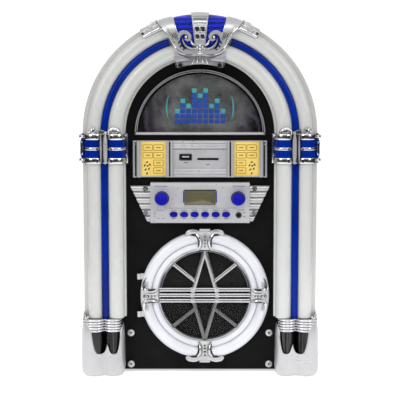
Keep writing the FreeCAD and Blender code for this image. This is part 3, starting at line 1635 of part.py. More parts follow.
def make_main_board():
    """A board on four standoffs with a heat sink, three capacitors and a processor."""
    floor = d.cabinet_bottom + d.cabinet_wall
    top = d.main_height + d.main_thick
    seat = top - d.lap
    pieces = [block("main_pcb", (-d.main_half, d.main_half), (d.main_front, d.main_back),
                    (d.main_height, top))]
    inset = d.standoff_inset
    for x in (inset - d.main_half, d.main_half - inset):
        for y in (d.main_front + inset, d.main_back - inset):
            pieces.append(rod("standoff", d.standoff_radius, (x, y, floor), "z",
                              d.main_height - floor + d.lap))
    pieces.append(block("heat_sink", (-d.sink_half, d.sink_half),
                        (d.main_back - d.sink_near, d.main_back - d.sink_far),
                        (seat, top + d.sink_tall)))
    for column in range(CAPACITORS):
        pieces.append(rod("capacitor", d.capacitor_radius,
                          (d.capacitor_first + d.capacitor_pitch * column,
                           d.main_front + d.parts_front, seat), "z", d.capacitor_tall))
    middle = d.main_front + d.parts_front + d.processor_half / 2.0
    pieces.append(block("processor",
                        (d.processor_side - d.processor_half, d.processor_side + d.processor_half),
                        (middle - d.processor_half, middle + d.processor_half),
                        (seat, top + d.processor_thick)))
    node(fused("main_pieces", pieces), "main_board")


# ---------------------------------------------------------------- rear fittings and screws

def make_dc_socket():
    barrel = rod("inlet_barrel", d.inlet_body, (d.inlet_side, cover_face - d.inlet_deep, d.inlet_height),
                 "y", d.inlet_deep)
    bezel = rod("inlet_bezel", d.inlet_radius, (d.inlet_side, cover_face, d.inlet_height), "y",
                d.inlet_bezel)
    bore = rod("inlet_hole", d.inlet_bore, (d.inlet_side, cover_face - d.inlet_bore_deep, d.inlet_height),
               "y", d.inlet_bore_deep + d.inlet_bezel + d.over)
    pin = rod("inlet_contact", d.inlet_pin, (d.inlet_side, cover_face - d.inlet_pin_deep, d.inlet_height),
              "y", d.inlet_bore_deep)
    socket = cut("inlet_shell", fused("inlet_pieces", [barrel, bezel]), [bore])
    node(fused("inlet", [socket, pin]), "dc_socket")


def make_power_switch():
    x, z = d.rocker_side, d.rocker_height
    wide, tall = d.switch_half_width - d.lap / 2.0, d.switch_half_height - d.lap / 2.0
    rim = d.switch_flange
    case = block("switch_case", (x - wide, x + wide), (cover_face - d.switch_deep, cover_face),
                 (z - tall, z + tall))
    face = block("switch_flange", (x - wide - rim, x + wide + rim), (cover_face, d.switch_face),
                 (z - tall - rim, z + tall + rim))
    hollow_wide = d.rocker_half_width + d.rocker_gap
    hollow_tall = d.rocker_half_height + 1.5 * d.rocker_gap
    hollow = block("switch_hollow", (x - hollow_wide, x + hollow_wide),
                   (cover_face - d.switch_deep + d.switch_floor, d.switch_face + d.over),
                   (z - hollow_tall, z + hollow_tall))
    node(cut("power", fused("switch_pieces", [case, face]), [hollow]), "power_switch")


def make_power_rocker():
    """A paddle that tips about a cross axis. It is stored tipped to its off side."""
    body = new_body("rocker_body")
    sketch = side_sketch(body, "rocker_profile")
    half = d.rocker_half_height
    trace(sketch, [
        (d.rocker_root, -half),
        (d.rocker_root, half),
        (-d.rocker_edge, half - d.rocker_taper),
        (-d.rocker_crest, d.rocker_crest_half),
        (-d.rocker_crest, -d.rocker_crest_half),
        (-d.rocker_edge, d.rocker_taper - half),
    ])
    pad(body, sketch, 2.0 * d.rocker_half_width, middle=True)
    tilt = Rotation(Vector(1, 0, 0), -DIMENSIONS["rocker_tilt"])
    place(body, d.rocker_side, d.rocker_pivot, d.rocker_height, tilt)
    node(body, "power_rocker")


def screw(x, z, seat, head, thick, facing):
    """A pan head with its shank, standing on a seat that faces the front (-1) or the back (1)."""
    head_start = seat - thick if facing < 0 else seat
    shank_start = seat if facing < 0 else seat - d.panel_thick
    return fused("screw", [rod("screw_head", head, (x, head_start, z), "y", thick),
                           rod("screw_shank", d.shank_radius, (x, shank_start, z), "y",
                               d.panel_thick)])


def make_screws():
    lugs, wings, bracket = front_screw_places()
    wing_seat = d.wing_centre - d.wing_rib
    screws = [screw(x, z, d.panel_front, d.lug_head, d.lug_thick, -1) for x, z in lugs]
    screws += [screw(x, z, wing_seat, d.head_radius, d.head_thick, -1) for x, z in wings]
    screws += [screw(x, z, d.bracket_front, d.head_radius, d.head_thick, -1) for x, z in bracket]
    screws += [screw(as_size(x), as_size(z), cover_face, d.head_radius, d.head_thick, 1)
               for x, z in rear_screw_places()]
    node(compound("screws", screws), "case_screws")


# ---------------------------------------------------------------- build, check and write

def failed(item):
    return any(word in ("Invalid", "Error") for word in item.State)


def main():
    for make in (make_cabinet_shell, make_front_panel, make_rear_cover, make_rubber_feet,
                 make_columns, make_arch, make_stripes, make_led_strips, make_collars, make_boots,
                 make_crown, make_dome, make_selection_panel, make_usb_port, make_card_slot,
                 make_control_panel, make_panel_wings, make_display, make_knobs, make_encoders,
                 make_buttons, make_control_board, make_audio_jack, make_door, make_door_grille,
                 make_door_ornaments, make_hinge, make_door_catch, make_cd_deck, make_sled_rails,
                 make_turntable, make_motors, make_sled, make_sled_gear, make_speakers,
                 make_main_board, make_dc_socket, make_power_switch, make_power_rocker,
                 make_screws):
        make()
    doc.recompute()

    bad = [item.Label for item in doc.Objects if failed(item)]
    for item in nodes:
        if item.Shape.isNull() or not item.Shape.isValid():
            bad.append(item.Label + " (shape)")
    if bad:
        raise RuntimeError("not built: " + ", ".join(bad))

    os.makedirs("parts", exist_ok=True)
    for item in nodes:
        item.Shape.exportStep(os.path.join("parts", item.Label + ".step"))
    print(len(nodes), "sub-parts written")


main()
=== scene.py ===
import math

import bmesh
import bpy
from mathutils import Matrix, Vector


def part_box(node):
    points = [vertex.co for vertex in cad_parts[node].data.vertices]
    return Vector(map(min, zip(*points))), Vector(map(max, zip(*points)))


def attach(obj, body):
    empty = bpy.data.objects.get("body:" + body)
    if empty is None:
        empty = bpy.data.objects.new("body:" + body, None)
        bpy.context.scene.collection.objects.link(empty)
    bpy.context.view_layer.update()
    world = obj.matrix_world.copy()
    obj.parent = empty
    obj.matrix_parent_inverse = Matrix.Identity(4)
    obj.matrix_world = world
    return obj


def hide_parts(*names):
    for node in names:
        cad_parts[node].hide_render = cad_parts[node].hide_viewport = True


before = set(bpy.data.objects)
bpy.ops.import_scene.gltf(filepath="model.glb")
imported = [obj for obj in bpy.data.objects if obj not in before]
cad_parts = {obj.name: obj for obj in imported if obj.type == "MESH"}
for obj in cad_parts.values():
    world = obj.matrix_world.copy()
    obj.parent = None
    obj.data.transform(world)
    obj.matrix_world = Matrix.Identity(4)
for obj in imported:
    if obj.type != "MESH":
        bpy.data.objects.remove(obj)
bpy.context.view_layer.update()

# The looks of a tabletop CD jukebox. Every length below is in millimetres, in the CAD frame: +Z is up,
# the front faces -Y and +X is to the right seen from the front. Piece.build turns them into metres.

MM = 0.001
FRONT = Vector((0.0, -1.0, 0.0))


class Place:
    """The box that a CAD node fills."""

    def __init__(self, node):
        low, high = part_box(node)
        self.left, self.front, self.bottom = (c / MM for c in low)
        self.right, self.back, self.top = (c / MM for c in high)
        self.x = (self.left + self.right) / 2
        self.y = (self.front + self.back) / 2
        self.z = (self.bottom + self.top) / 2
        self.near = min(abs(self.left), abs(self.right))
        self.far = max(abs(self.left), abs(self.right))
        self.half_wide = (self.right - self.left) / 2
        self.half_tall = (self.top - self.bottom) / 2


# ---------------------------------------------------------------- geometry helpers


class Piece:
    """One visible piece, gathered from closed shells."""

    def __init__(self, name):
        self.name = name
        self.verts = []
        self.faces = []
        self.indices = []
        self.materials = []

    def add(self, shell, *materials):
        """Adds a shell in one material, or in one for each of its faces."""
        verts, faces = shell
        for material in materials:
            if material not in self.materials:
                self.materials.append(material)
        base = len(self.verts)
        self.verts += [Vector(v) * MM for v in verts]
        self.faces += [[base + i for i in face] for face in faces]
        found = [self.materials.index(material) for material in materials]
        self.indices += found * len(faces) if len(found) == 1 else found

    def build(self, body, slot, *nodes, crease=40):
        mesh = bpy.data.meshes.new(self.name)
        mesh.from_pydata(self.verts, [], self.faces)
        for material in self.materials:
            mesh.materials.append(material)
        mesh.polygons.foreach_set("material_index", self.indices)
        bm = bmesh.new()
        bm.from_mesh(mesh)
        bmesh.ops.recalc_face_normals(bm, faces=bm.faces)
        bm.to_mesh(mesh)
        bm.free()
        mesh.shade_smooth()
        mesh.set_sharp_from_angle(angle=math.radians(crease))
        piece = bpy.data.objects.new(self.name, mesh)
        bpy.context.scene.collection.objects.link(piece)
        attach(piece, body)
        if nodes:
            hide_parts(*nodes)
        return piece


def blend(a, b, share):
    return a + (b - a) * share


def steps(start, end, count):
    """count values from start to end, both included."""
    return [blend(start, end, i / (count - 1)) for i in range(count)]


def at(values, share):
    """The value at a share of the way along a list, straight between its entries. A number is itself."""
    if isinstance(values, (int, float)):
        return values
    place = share * (len(values) - 1)
    low = min(int(place), len(values) - 2)
    return blend(values[low], values[low + 1], place - low)


def sheet(rows, wrap_rows=False, wrap_columns=False, caps=False):
    """The vertices and faces of a net of points. caps closes the two ends of a tube's first and last row."""
    count, width = len(rows), len(rows[0])
    faces = []
    for i in range(count if wrap_rows else count - 1):
        here, there = i * width, (i + 1) % count * width
        for j in range(width if wrap_columns else width - 1):
            k = (j + 1) % width
            faces.append([here + j, here + k, there + k, there + j])
    if caps and wrap_columns:
        faces.append(list(range(width)))
        faces.append(list(range((count - 1) * width, count * width)))
    if caps and wrap_rows:
        faces.append([i * width for i in range(count)])
        faces.append([i * width + width - 1 for i in range(count)])
    return [point for row in rows for point in row], faces


def arc(x, y, radius, start, end, count):
    """Points on an arc, angles in degrees."""
    turns = [math.radians(a) for a in steps(start, end, count)]
    return [(x + radius * math.cos(a), y + radius * math.sin(a)) for a in turns]


def smooth(points, per_span=8, closed=False):
    """Points on a Catmull-Rom curve through the given ones."""
    points = [Vector(p) for p in points]
    ends = [points[-1], *points, points[0], points[1]] if closed else [points[0], *points, points[-1]]
    found = []
    for before, a, b, after in zip(ends, ends[1:], ends[2:], ends[3:]):
        for i in range(per_span):
            t = i / per_span
            found.append(0.5 * (2 * a + (b - before) * t + (2 * before - 5 * a + 4 * b - after) * t ** 2
                                + (3 * a - before - 3 * b + after) * t ** 3))
    return found if closed else [*found, points[-1]]


def strand(path, width, height, facing=FRONT, sides=10, vein=0.0, closed=False):
    """A rod along a path. width and height are half sizes, across and towards facing, and may be lists
    that run from end to end. vein presses a groove into its front."""
    path = [Vector(p) for p in path]
    rows = []
    for i, point in enumerate(path):
        share = i / (len(path) - 1)
        before = path[i - 1] if closed or i else point
        after = path[(i + 1) % len(path)] if closed or i + 1 < len(path) else point
        along = (after - before).normalized()
        out = facing(point) if callable(facing) else facing
        out = (out - along * out.dot(along)).normalized()
        across = along.cross(out)
        row = []
        for k in range(sides):
            turn = math.tau * k / sides
            lift = math.sin(turn)
            if lift > 0:
                lift *= 1 - vein * max(0.0, 1 - abs(math.cos(turn)) / 0.5)
            row.append(point + across * at(width, share) * math.cos(turn) + out * at(height, share) * lift)
        rows.append(row)
    return sheet(rows, wrap_rows=closed, wrap_columns=True, caps=not closed)


def level_rod(left, right, y, z, width, height, sides=6):
    """A straight rod from left to right."""
    return strand([(left, y, z), (right, y, z)], width, height, sides=sides)


def lathe(profile, x, z, closed=False, count=64):
    """A profile of (radius, y) turned about the line through (x, z) along Y. An open profile starts and
    ends on that line, or at a ring that a flat face closes."""
    turns = [math.tau * i / count for i in range(count)]
    rows = [[(x + r * math.cos(a), y, z + r * math.sin(a)) for a in turns] for r, y in profile]
    return sheet(rows, wrap_rows=closed, wrap_columns=True, caps=not closed)


def inset(outline, distance):
    """A closed outline moved inwards. Its points run counter-clockwise."""
    found = []
    for i, (x, z) in enumerate(outline):
        before, after = Vector(outline[i - 1]), Vector(outline[(i + 1) % len(outline)])
        here = Vector((x, z))
        one, two = (here - before).normalized(), (after - here).normalized()
        normal = Vector((-one.y, one.x)) + Vector((-two.y, two.x))
        if normal.length < 1e-6:
            normal = Vector((-one.y, one.x))
        normal.normalize()
        stretch = max(0.5, normal.dot(Vector((-one.y, one.x))))
        found.append(tuple(here + normal * distance / stretch))
    return found


def counter_clockwise(outline):
    area = sum(a[0] * b[1] - b[0] * a[1] for a, b in zip(outline, [*outline[1:], outline[0]]))
    return outline if area > 0 else outline[::-1]


def plate(outline, front, back, bevel=0.4, dish=0.0):
    """A flat plate that faces the front, with a rounded edge. outline holds (x, z) points. dish sinks the
    face inside a rim of the bevel's width."""
    outline = counter_clockwise(outline)
    levels = [(0, back), (0, front + bevel), (0.3 * bevel, front + 0.3 * bevel), (bevel, front)]
    if dish:
        levels += [(2 * bevel, front), (2.6 * bevel, front + dish)]
    rows = [[(x, y, z) for x, z in inset(outline, d)] for d, y in levels]
    return sheet(rows, wrap_columns=True, caps=True)


def rounded(left, bottom, right, top, radius, count=5):
    """The outline of a rectangle with round corners."""
    corners = [(right - radius, top - radius, 0), (left + radius, top - radius, 90),
               (left + radius, bottom + radius, 180), (right - radius, bottom + radius, 270)]
    return [p for x, z, turn in corners for p in arc(x, z, radius, turn, turn + 90, count)]


def centred(x, z, wide, tall, radius, count=5):
    """The same outline round the point (x, z). wide and tall are half sizes."""
    return rounded(x - wide, z - tall, x + wide, z + tall, radius, count)


def flat(points, y):
    """Points (x, z) at one depth."""
    return [(x, y, z) for x, z in points]


def bead(x, y, z, radius, depth=None, count=20):
    """A dome that faces the front."""
    depth = radius if depth is None else depth
    profile = [(radius * math.cos(math.radians(a)), y - depth * math.sin(math.radians(a)))
               for a in steps(-60, 84, 9)]
    return lathe(profile, x, z, count=count)


def screw_head(piece, x, z, front, radius, metal, shadow, sink=0.9):
    """A domed cross-head screw that faces the front."""
    piece.add(lathe([(radius, front + sink), (radius, front + 0.5), (0.84 * radius, front + 0.12),
                     (0.45 * radius, front), (0.02, front)], x, z, count=28), metal)
    for turn in (35, 125):
        a = math.radians(turn)
        reach = Vector((math.cos(a), 0, math.sin(a))) * 0.56 * radius
        middle = Vector((x, front - 0.02, z))
        piece.add(strand([middle - reach, middle + reach], 0.16 * radius, 0.12, sides=8), shadow)


# ---------------------------------------------------------------- materials


def nodes_of(name):
    material = bpy.data.materials.new(name)
    material.use_nodes = True
    tree = material.node_tree
    return material, tree, tree.nodes["Principled BSDF"]


def coordinates(tree, stretch):
    """Object coordinates, stretched, so that a pattern keeps its real scale."""
    source = tree.nodes.new("ShaderNodeTexCoord")
    mapping = tree.nodes.new("ShaderNodeMapping")
    mapping.inputs["Scale"].default_value = stretch
    tree.links.new(source.outputs["Object"], mapping.inputs["Vector"])
    return mapping.outputs["Vector"]


def noise(tree, vector, scale, detail=3.0, rough=0.55):
    node = tree.nodes.new("ShaderNodeTexNoise")
    node.inputs["Scale"].default_value = scale
    node.inputs["Detail"].default_value = detail
    node.inputs["Roughness"].default_value = rough
    tree.links.new(vector, node.inputs["Vector"])
    return node.outputs["Fac"]


def ramp(tree, value, stops):
    """Colours at places from 0 to 1."""
    node = tree.nodes.new("ShaderNodeValToRGB")
    while len(node.color_ramp.elements) < len(stops):
        node.color_ramp.elements.new(0.5)
    for element, (place, colour) in zip(node.color_ramp.elements, stops):
        element.position = place
        element.color = (*colour, 1.0)
    tree.links.new(value, node.inputs["Fac"])
    return node.outputs["Color"]


def spread(tree, value, low, high):
    node = tree.nodes.new("ShaderNodeMapRange")
    node.inputs["From Min"].default_value = 0.3
    node.inputs["From Max"].default_value = 0.7
    node.inputs["To Min"].default_value = low
    node.inputs["To Max"].default_value = high
    tree.links.new(value, node.inputs["Value"])
    return node.outputs["Result"]


def bump(tree, shader, height, depth, strength):
    node = tree.nodes.new("ShaderNodeBump")
    node.inputs["Distance"].default_value = depth * MM
    node.inputs["Strength"].default_value = strength
    tree.links.new(height, node.inputs["Height"])
    tree.links.new(node.outputs["Normal"], shader.inputs["Normal"])


def finish_of(name, dark, light, rough, grain, tone=14.0, stretch=(1, 1, 1), depth=0.05, strength=0.4,
              **sockets):
    """A moulded, painted or plated surface: its colour wanders between dark and light, its roughness
    between two values, and grain is the scale of its fine bumps, in bumps per metre."""
    material, tree, shader = nodes_of(name)
    where = coordinates(tree, stretch)
    wander = noise(tree, where, tone)
    tree.links.new(ramp(tree, wander, [(0.32, dark), (0.68, light)]), shader.inputs["Base Color"])
    patches = noise(tree, where, tone * 6, detail=5)
    tree.links.new(spread(tree, patches, *rough), shader.inputs["Roughness"])
    bump(tree, shader, noise(tree, where, grain, detail=2), depth, strength)
    for socket, value in sockets.items():
        shader.inputs[socket.replace("_", " ")].default_value = value
    return material


def grey(value):
    return (value, value, value * 1.01)


CHROME = finish_of("chrome", grey(0.60), grey(0.72), (0.12, 0.20), 260, depth=0.03, strength=0.15,
                   Metallic=1.0)
SATIN_CHROME = finish_of("satin_chrome", grey(0.42), grey(0.54), (0.20, 0.30), 420, depth=0.03,
                         strength=0.2, Metallic=1.0)
PALE_PLATING = finish_of("pale_plating", grey(0.50), grey(0.58), (0.26, 0.36), 300, depth=0.03, strength=0.2,
                         Metallic=0.45, Coat_Weight=0.4, Coat_Roughness=0.12)
# Painted shade: a darker copy of chrome for the grille's lower spokes.
LOWER_SHADE_CHROME = finish_of("chrome_with_lower_painted_shade", grey(0.13), grey(0.22), (0.22, 0.34), 420, depth=0.03,
                          strength=0.2, Metallic=1.0)
# Painted shade and painted reflection: near-black chrome, streaked up and down like mirrored dark
# surroundings, for the boots' flutes and front valleys, sunk screws, bead bases and the shade lines beside
# the ornaments.
PAINTED_SHADE_CHROME = finish_of("chrome_with_painted_shade", grey(0.006), grey(0.075), (0.05, 0.14), 200, tone=420,
                          stretch=(1, 1, 0.03), depth=0.02, strength=0.2, Metallic=1.0)
# Painted shadow: near black in slots, holes, gaps, recesses and behind grilles and ribs, where only shade
# falls.
SHADOW = finish_of("painted_shadow_black", grey(0.003), grey(0.008), (0.5, 0.7), 900)
SILVER = finish_of("silver_lacquer", (0.57, 0.57, 0.585), (0.66, 0.66, 0.675), (0.26, 0.36), 2600, tone=40,
                   depth=0.02, strength=0.3, Metallic=0.35, Coat_Weight=0.25, Coat_Roughness=0.2)
TUBE_WHITE = finish_of("milky_tube", (0.60, 0.60, 0.575), (0.68, 0.68, 0.665), (0.20, 0.30), 90, tone=9,
                       stretch=(1, 1, 0.35), depth=0.05, strength=0.15, Coat_Weight=0.4,
                       Subsurface_Weight=0.12, Subsurface_Scale=0.01)
RING_WHITE = finish_of("ring_white", (0.70, 0.71, 0.75), (0.78, 0.79, 0.82), (0.16, 0.24), 120, tone=16,
                       depth=0.04, strength=0.15, Coat_Weight=0.5)
STRIPE_BLUE = finish_of("stripe_blue", (0.0005, 0.014, 0.20), (0.001, 0.024, 0.31), (0.16, 0.28), 300,
                        tone=24, Specular_IOR_Level=0.12)
CONTROL_BLUE = finish_of("control_blue", (0.001, 0.002, 0.28), (0.003, 0.004, 0.40), (0.3, 0.44), 1500,
                         tone=60, depth=0.03, Specular_IOR_Level=0.2)
PANEL_BLACK = finish_of("panel_black", grey(0.004), grey(0.007), (0.45, 0.6), 1300, tone=30, depth=0.06,
                        strength=0.5, Specular_IOR_Level=0.08)
CABINET_BLACK = finish_of("cabinet_vinyl", grey(0.006), grey(0.012), (0.42, 0.6), 900, tone=22,
                          depth=0.12, strength=0.7)
DARK_PLASTIC = finish_of("dark_plastic", grey(0.010), grey(0.020), (0.36, 0.52), 1100, tone=30)
DECK_GREY = finish_of("deck_plastic", grey(0.014), grey(0.024), (0.5, 0.65), 150, tone=30, depth=0.02,
                      strength=0.1, Specular_IOR_Level=0.12)
RUBBER = finish_of("rubber_black", grey(0.008), grey(0.018), (0.7, 0.88), 800, depth=0.1, strength=0.6)
STEEL = finish_of("steel_plate", grey(0.42), grey(0.56), (0.24, 0.4), 1600, stretch=(1, 1, 0.06),
                  Metallic=1.0)
SCREW_STEEL = finish_of("screw_steel", grey(0.50), grey(0.68), (0.18, 0.34), 900, tone=80, Metallic=1.0)
# Dark metal for the magnets, the door catch and the jack nut, and the dark print of the legend dashes. It is
# also painted shade in the boots' side valleys, under the panel's rails, between the grille's rings and in
# the dome rim between its bright lines.
DARK_METAL_AND_SHADE = finish_of("magnet_dark", grey(0.04), grey(0.09), (0.4, 0.6), 700, Metallic=0.6)
BOARD = finish_of("board_green", (0.006, 0.06, 0.022), (0.012, 0.11, 0.04), (0.3, 0.45), 700, tone=120)
CONE = finish_of("cone_paper", grey(0.012), grey(0.024), (0.75, 0.92), 600, tone=60, depth=0.15)
CARD = finish_of("card_yellow", (0.80, 0.55, 0.10), (0.88, 0.66, 0.17), (0.42, 0.55), 1200, tone=26)
CARD_LINE = finish_of("card_ochre", (0.22, 0.12, 0.008), (0.32, 0.18, 0.015), (0.45, 0.6), 1200)
INK = finish_of("ink", (0.010, 0.009, 0.008), (0.022, 0.020, 0.018), (0.45, 0.6), 1200)
LCD = finish_of("display_olive", (0.095, 0.088, 0.046), (0.135, 0.126, 0.066), (0.10, 0.18), 200, tone=20,
                Coat_Weight=0.6)
CELL = finish_of("display_cells", (0.085, 0.080, 0.042), (0.10, 0.095, 0.05), (0.12, 0.2), 300)
TEAL = finish_of("print_teal", (0.06, 0.50, 0.52), (0.10, 0.62, 0.62), (0.3, 0.42), 900)
PRINT_BLUE = finish_of("print_blue", (0.010, 0.085, 0.50), (0.018, 0.120, 0.64), (0.3, 0.42), 900)


def clear_plastic(name, tint, alpha, gloss):
    """A polished pane: nearly clear, with a faint moulded ripple. gloss is its specular level."""
    material, tree, shader = nodes_of(name)
    where = coordinates(tree, (1, 1, 1))
    tree.links.new(ramp(tree, noise(tree, where, 9), [(0.3, tint), (0.7, grey(0.03))]),
                   shader.inputs["Base Color"])
    tree.links.new(spread(tree, noise(tree, where, 60), 0.02, 0.07), shader.inputs["Roughness"])
    bump(tree, shader, noise(tree, where, 9, detail=0), 0.02, 0.05)
    shader.inputs["Alpha"].default_value = alpha
    shader.inputs["Specular IOR Level"].default_value = gloss
    return material


def ribbed_blue():
    """The crown's metallic blue, lighter and darker by turns up its height: painted light and shade on
    its ribs, which follows the same wave as their bumps.
    """
    material, tree, shader = nodes_of("insert_blue")
    where = coordinates(tree, (0.25, 1, 1))
    wave = tree.nodes.new("ShaderNodeTexWave")
    wave.bands_direction = "Z"
    wave.inputs["Scale"].default_value = 62.0
    wave.inputs["Distortion"].default_value = 3.0
    wave.inputs["Detail"].default_value = 2.0
    tree.links.new(where, wave.inputs["Vector"])
    # Painted light and shade: the colour follows the ribs' wave, pale on their crests and dark in their
    # troughs.
    stops = [(0.1, (0.0005, 0.004, 0.13)), (0.8, (0.001, 0.022, 0.62))]
    tree.links.new(ramp(tree, wave.outputs["Fac"], stops), shader.inputs["Base Color"])
    tree.links.new(spread(tree, noise(tree, where, 90), 0.2, 0.34), shader.inputs["Roughness"])
    bump(tree, shader, wave.outputs["Fac"], 0.25, 0.5)
    shader.inputs["Specular IOR Level"].default_value = 0.2
    return material


def patterned_foil():
    """The card behind the dome window: dark foil with swirled grey streaks, paler towards its middle.
    Its swirls and streaks are its own pattern; its fall to dark towards the sides is painted shade.
    """
    material, tree, shader = nodes_of("backdrop_foil")
    where = coordinates(tree, (1, 1, 1))
    swirl = noise(tree, where, 26, detail=6, rough=0.7)
    streaks = tree.nodes.new("ShaderNodeTexWave")
    streaks.inputs["Scale"].default_value = 17.0
    streaks.inputs["Distortion"].default_value = 14.0
    streaks.inputs["Detail"].default_value = 4.0
    tree.links.new(where, streaks.inputs["Vector"])
    # Painted shade: a round gradient, centred on the window, lets the card fall to its dark streaks towards
    # the sides.
    sides = tree.nodes.new("ShaderNodeTexGradient")
    sides.gradient_type = "SPHERICAL"
    middle = tree.nodes.new("ShaderNodeMapping")
    middle.inputs["Location"].default_value = (0, 0, -3.85)
    middle.inputs["Scale"].default_value = (15.5, 0, 12.5)
    source = tree.nodes.new("ShaderNodeTexCoord")
    tree.links.new(source.outputs["Object"], middle.inputs["Vector"])
    tree.links.new(middle.outputs["Vector"], sides.inputs["Vector"])
    dark = ramp(tree, streaks.outputs["Fac"], [(0.35, (0.006, 0.005, 0.010)), (0.9, (0.10, 0.08, 0.13))])
    pale = ramp(tree, swirl, [(0.38, grey(0.10)), (0.62, grey(0.30))])
    mix = tree.nodes.new("ShaderNodeMix")
    mix.data_type = "RGBA"
    tree.links.new(ramp(tree, sides.outputs["Fac"], [(0.02, grey(0)), (0.35, grey(1))]), mix.inputs["Factor"])
    tree.links.new(dark, mix.inputs["A"])
    tree.links.new(pale, mix.inputs["B"])
    tree.links.new(mix.outputs["Result"], shader.inputs["Base Color"])
    tree.links.new(spread(tree, swirl, 0.22, 0.5), shader.inputs["Roughness"])
    bump(tree, shader, swirl, 0.1, 0.3)
    shader.inputs["Metallic"].default_value = 0.4
    return material


CLEAR = clear_plastic("clear_window", grey(0.02), 0.12, 0.9)
SMOKED_CLEAR = clear_plastic("door_glass", grey(0.02), 0.45, 0.06)
INSERT_BLUE = ribbed_blue()
FOIL = patterned_foil()


# ---------------------------------------------------------------- shapes that follow the light tubes

column = Place("right_column_tubes")
arch = Place("arch_tubes")
ARCH_Z = arch.bottom
PANEL = column.back
LOBE_Y = column.front + 8.8
# Each lobe: the distance of its centre from the middle, and its radius.
INNER_LOBE = (column.near + 11.0, 8.8)
OUTER_LOBE = (column.far - 13.3, 8.1)
GROOVE = (INNER_LOBE[0] + INNER_LOBE[1] + OUTER_LOBE[0] - OUTER_LOBE[1]) / 2
SHOULDER = 5.0
HAND = {-1: "left", 1: "right"}


def tube_section(lift, floor=4.0):
    """Points (distance from the middle, y) over the two lobes, from the inner edge to the outer one. lift
    is the height above the tubes, and floor how far the groove between them is filled."""
    (inner, small), (outer, big) = INNER_LOBE, OUTER_LOBE
    near, far = small + lift, big + lift
    near_turn = math.degrees(math.asin(min(0.98, (floor + lift * 0.6) / near)))
    far_turn = math.degrees(math.asin(min(0.98, (floor + lift * 0.6) / far)))
    return [(column.near - lift, PANEL), (column.near - lift, LOBE_Y + SHOULDER),
            *arc(inner, LOBE_Y, near, 180, 360 - near_turn, 22),
            *arc(outer, LOBE_Y, far, 180 + far_turn, 360, 22),
            (column.far + 0.6 * lift, LOBE_Y + SHOULDER), (column.far + 0.6 * lift, PANEL)]


def band(section, profile, place):
    """A band laid over a section. profile holds (position along the tube, lift), and place makes a point
    from a position, a distance and a depth."""
    outer = [[place(along, *point) for point in section(lift)] for along, lift in profile]
    inner = [[place(along, *point) for point in section(0.05)] for along, _ in (profile[-1], profile[0])]
    return sheet(outer + inner, wrap_rows=True, caps=True)


def on_column(side):
    return lambda height, distance, depth: (side * distance, depth, height)


def on_arch(angle, distance, depth):
    """A point of the arch. angle is in degrees from the top, positive to the right."""
    turn = math.radians(angle)
    return distance * math.sin(turn), depth, ARCH_Z + distance * math.cos(turn)


def rounded_band(low, high, lift, edge):
    """The profile of a band with round edges."""
    return [(low, 0.1), (low, lift - edge), (low + 0.3 * edge, lift - 0.3 * edge), (low + edge, lift),
            (high - edge, lift), (high - 0.3 * edge, lift - 0.3 * edge), (high, lift - edge), (high, 0.1)]


# ---------------------------------------------------------------- boots

BOOT_RIDGES = 5
RIDGE_PITCH = 3.1
RIDGE_FOOT = 52.0
RIDGE_ROWS = 8
LOBE_DEPTH = 71.0
# Each lobe of the boot: its centre from the boot's near or far side, and its radius.
INNER_BOOT = (13.2, 10.0)
OUTER_BOOT = (15.2, 12.0)
BOOT_SHOULDER = 8
PLAIN_FOOT = 18
# The valleys get painted shade in dark chrome between these distances from the middle.
VALLEY_SHADE_SPAN = (91, 124)
SKIRT_LIFT = 3.2
SKIRT_FILL = 10
SKIRT_LEAN = 46
SKIRT_ROLL = 9
# The foot swells over this many points of the outline, from its inner side on.
SWELL_POINTS = 20
# Each cut: its middle, then half its width away from the spike and beside the spike.
SKIRT_CUTS = ((98.9, 8.3, 7.8), (115.6, 10.7, 8.9))
SPIKE = 106
# The shoulders beyond the cuts: where each starts, and how wide it is.
INNER_SHOULDER = (90.6, 5.5)
OUTER_SHOULDER = (126.3, 7.5)


def boot_section(lift, inner, outer, fill=0):
    """The boot's outline, two round lobes that meet in a crease. fill, in degrees, makes it shallower."""
    (near_inset, small), (far_inset, big) = INNER_BOOT, OUTER_BOOT
    near, far = small + lift, big + lift
    left, right = inner + near_inset, outer - far_inset
    gap = right - left
    cross = (gap ** 2 + near ** 2 - far ** 2) / (2 * gap)
    near_turn = math.degrees(math.acos(min(1.0, cross / near))) + fill
    far_turn = math.degrees(math.acos(min(1.0, (gap - cross) / far))) + fill
    first = arc(left, -LOBE_DEPTH, near, 180, 360 - near_turn, 26)
    second = arc(right, -LOBE_DEPTH, far, 180 + far_turn, 360, 28)
    bridge = [tuple(Vector(first[-1]).lerp(Vector(second[0]), s)) for s in steps(0, 1, 10)[1:-1]]
    return [(left - near, PANEL), (left - near, PANEL - BOOT_SHOULDER), *first, *bridge, *second,
            (right + far, PANEL - BOOT_SHOULDER), (right + far, PANEL)]


def skirt_top(x, foot):
    """The skirt's upper edge at distance x: two deep U cuts with a spike between them, and shoulders."""
    bottom, spike, rim = foot + 26.8, foot + 38.6, foot + 53.0
    for centre, away, near in SKIRT_CUTS:
        wide = away if (x > centre) == (centre > SPIKE) else near
        top = rim if wide == away else spike
        share = abs(x - centre) / wide
        if share <= 1:
            return bottom + (top - bottom) * share ** 3.4
    (inner, inner_wide), (outer, outer_wide) = INNER_SHOULDER, OUTER_SHOULDER
    outside = min(1.0, max((inner - x) / inner_wide, (x - outer) / outer_wide))
    return blend(rim, foot + 66.0, max(0.0, outside)) + 1.4 * max(0.0, x - 132.5)


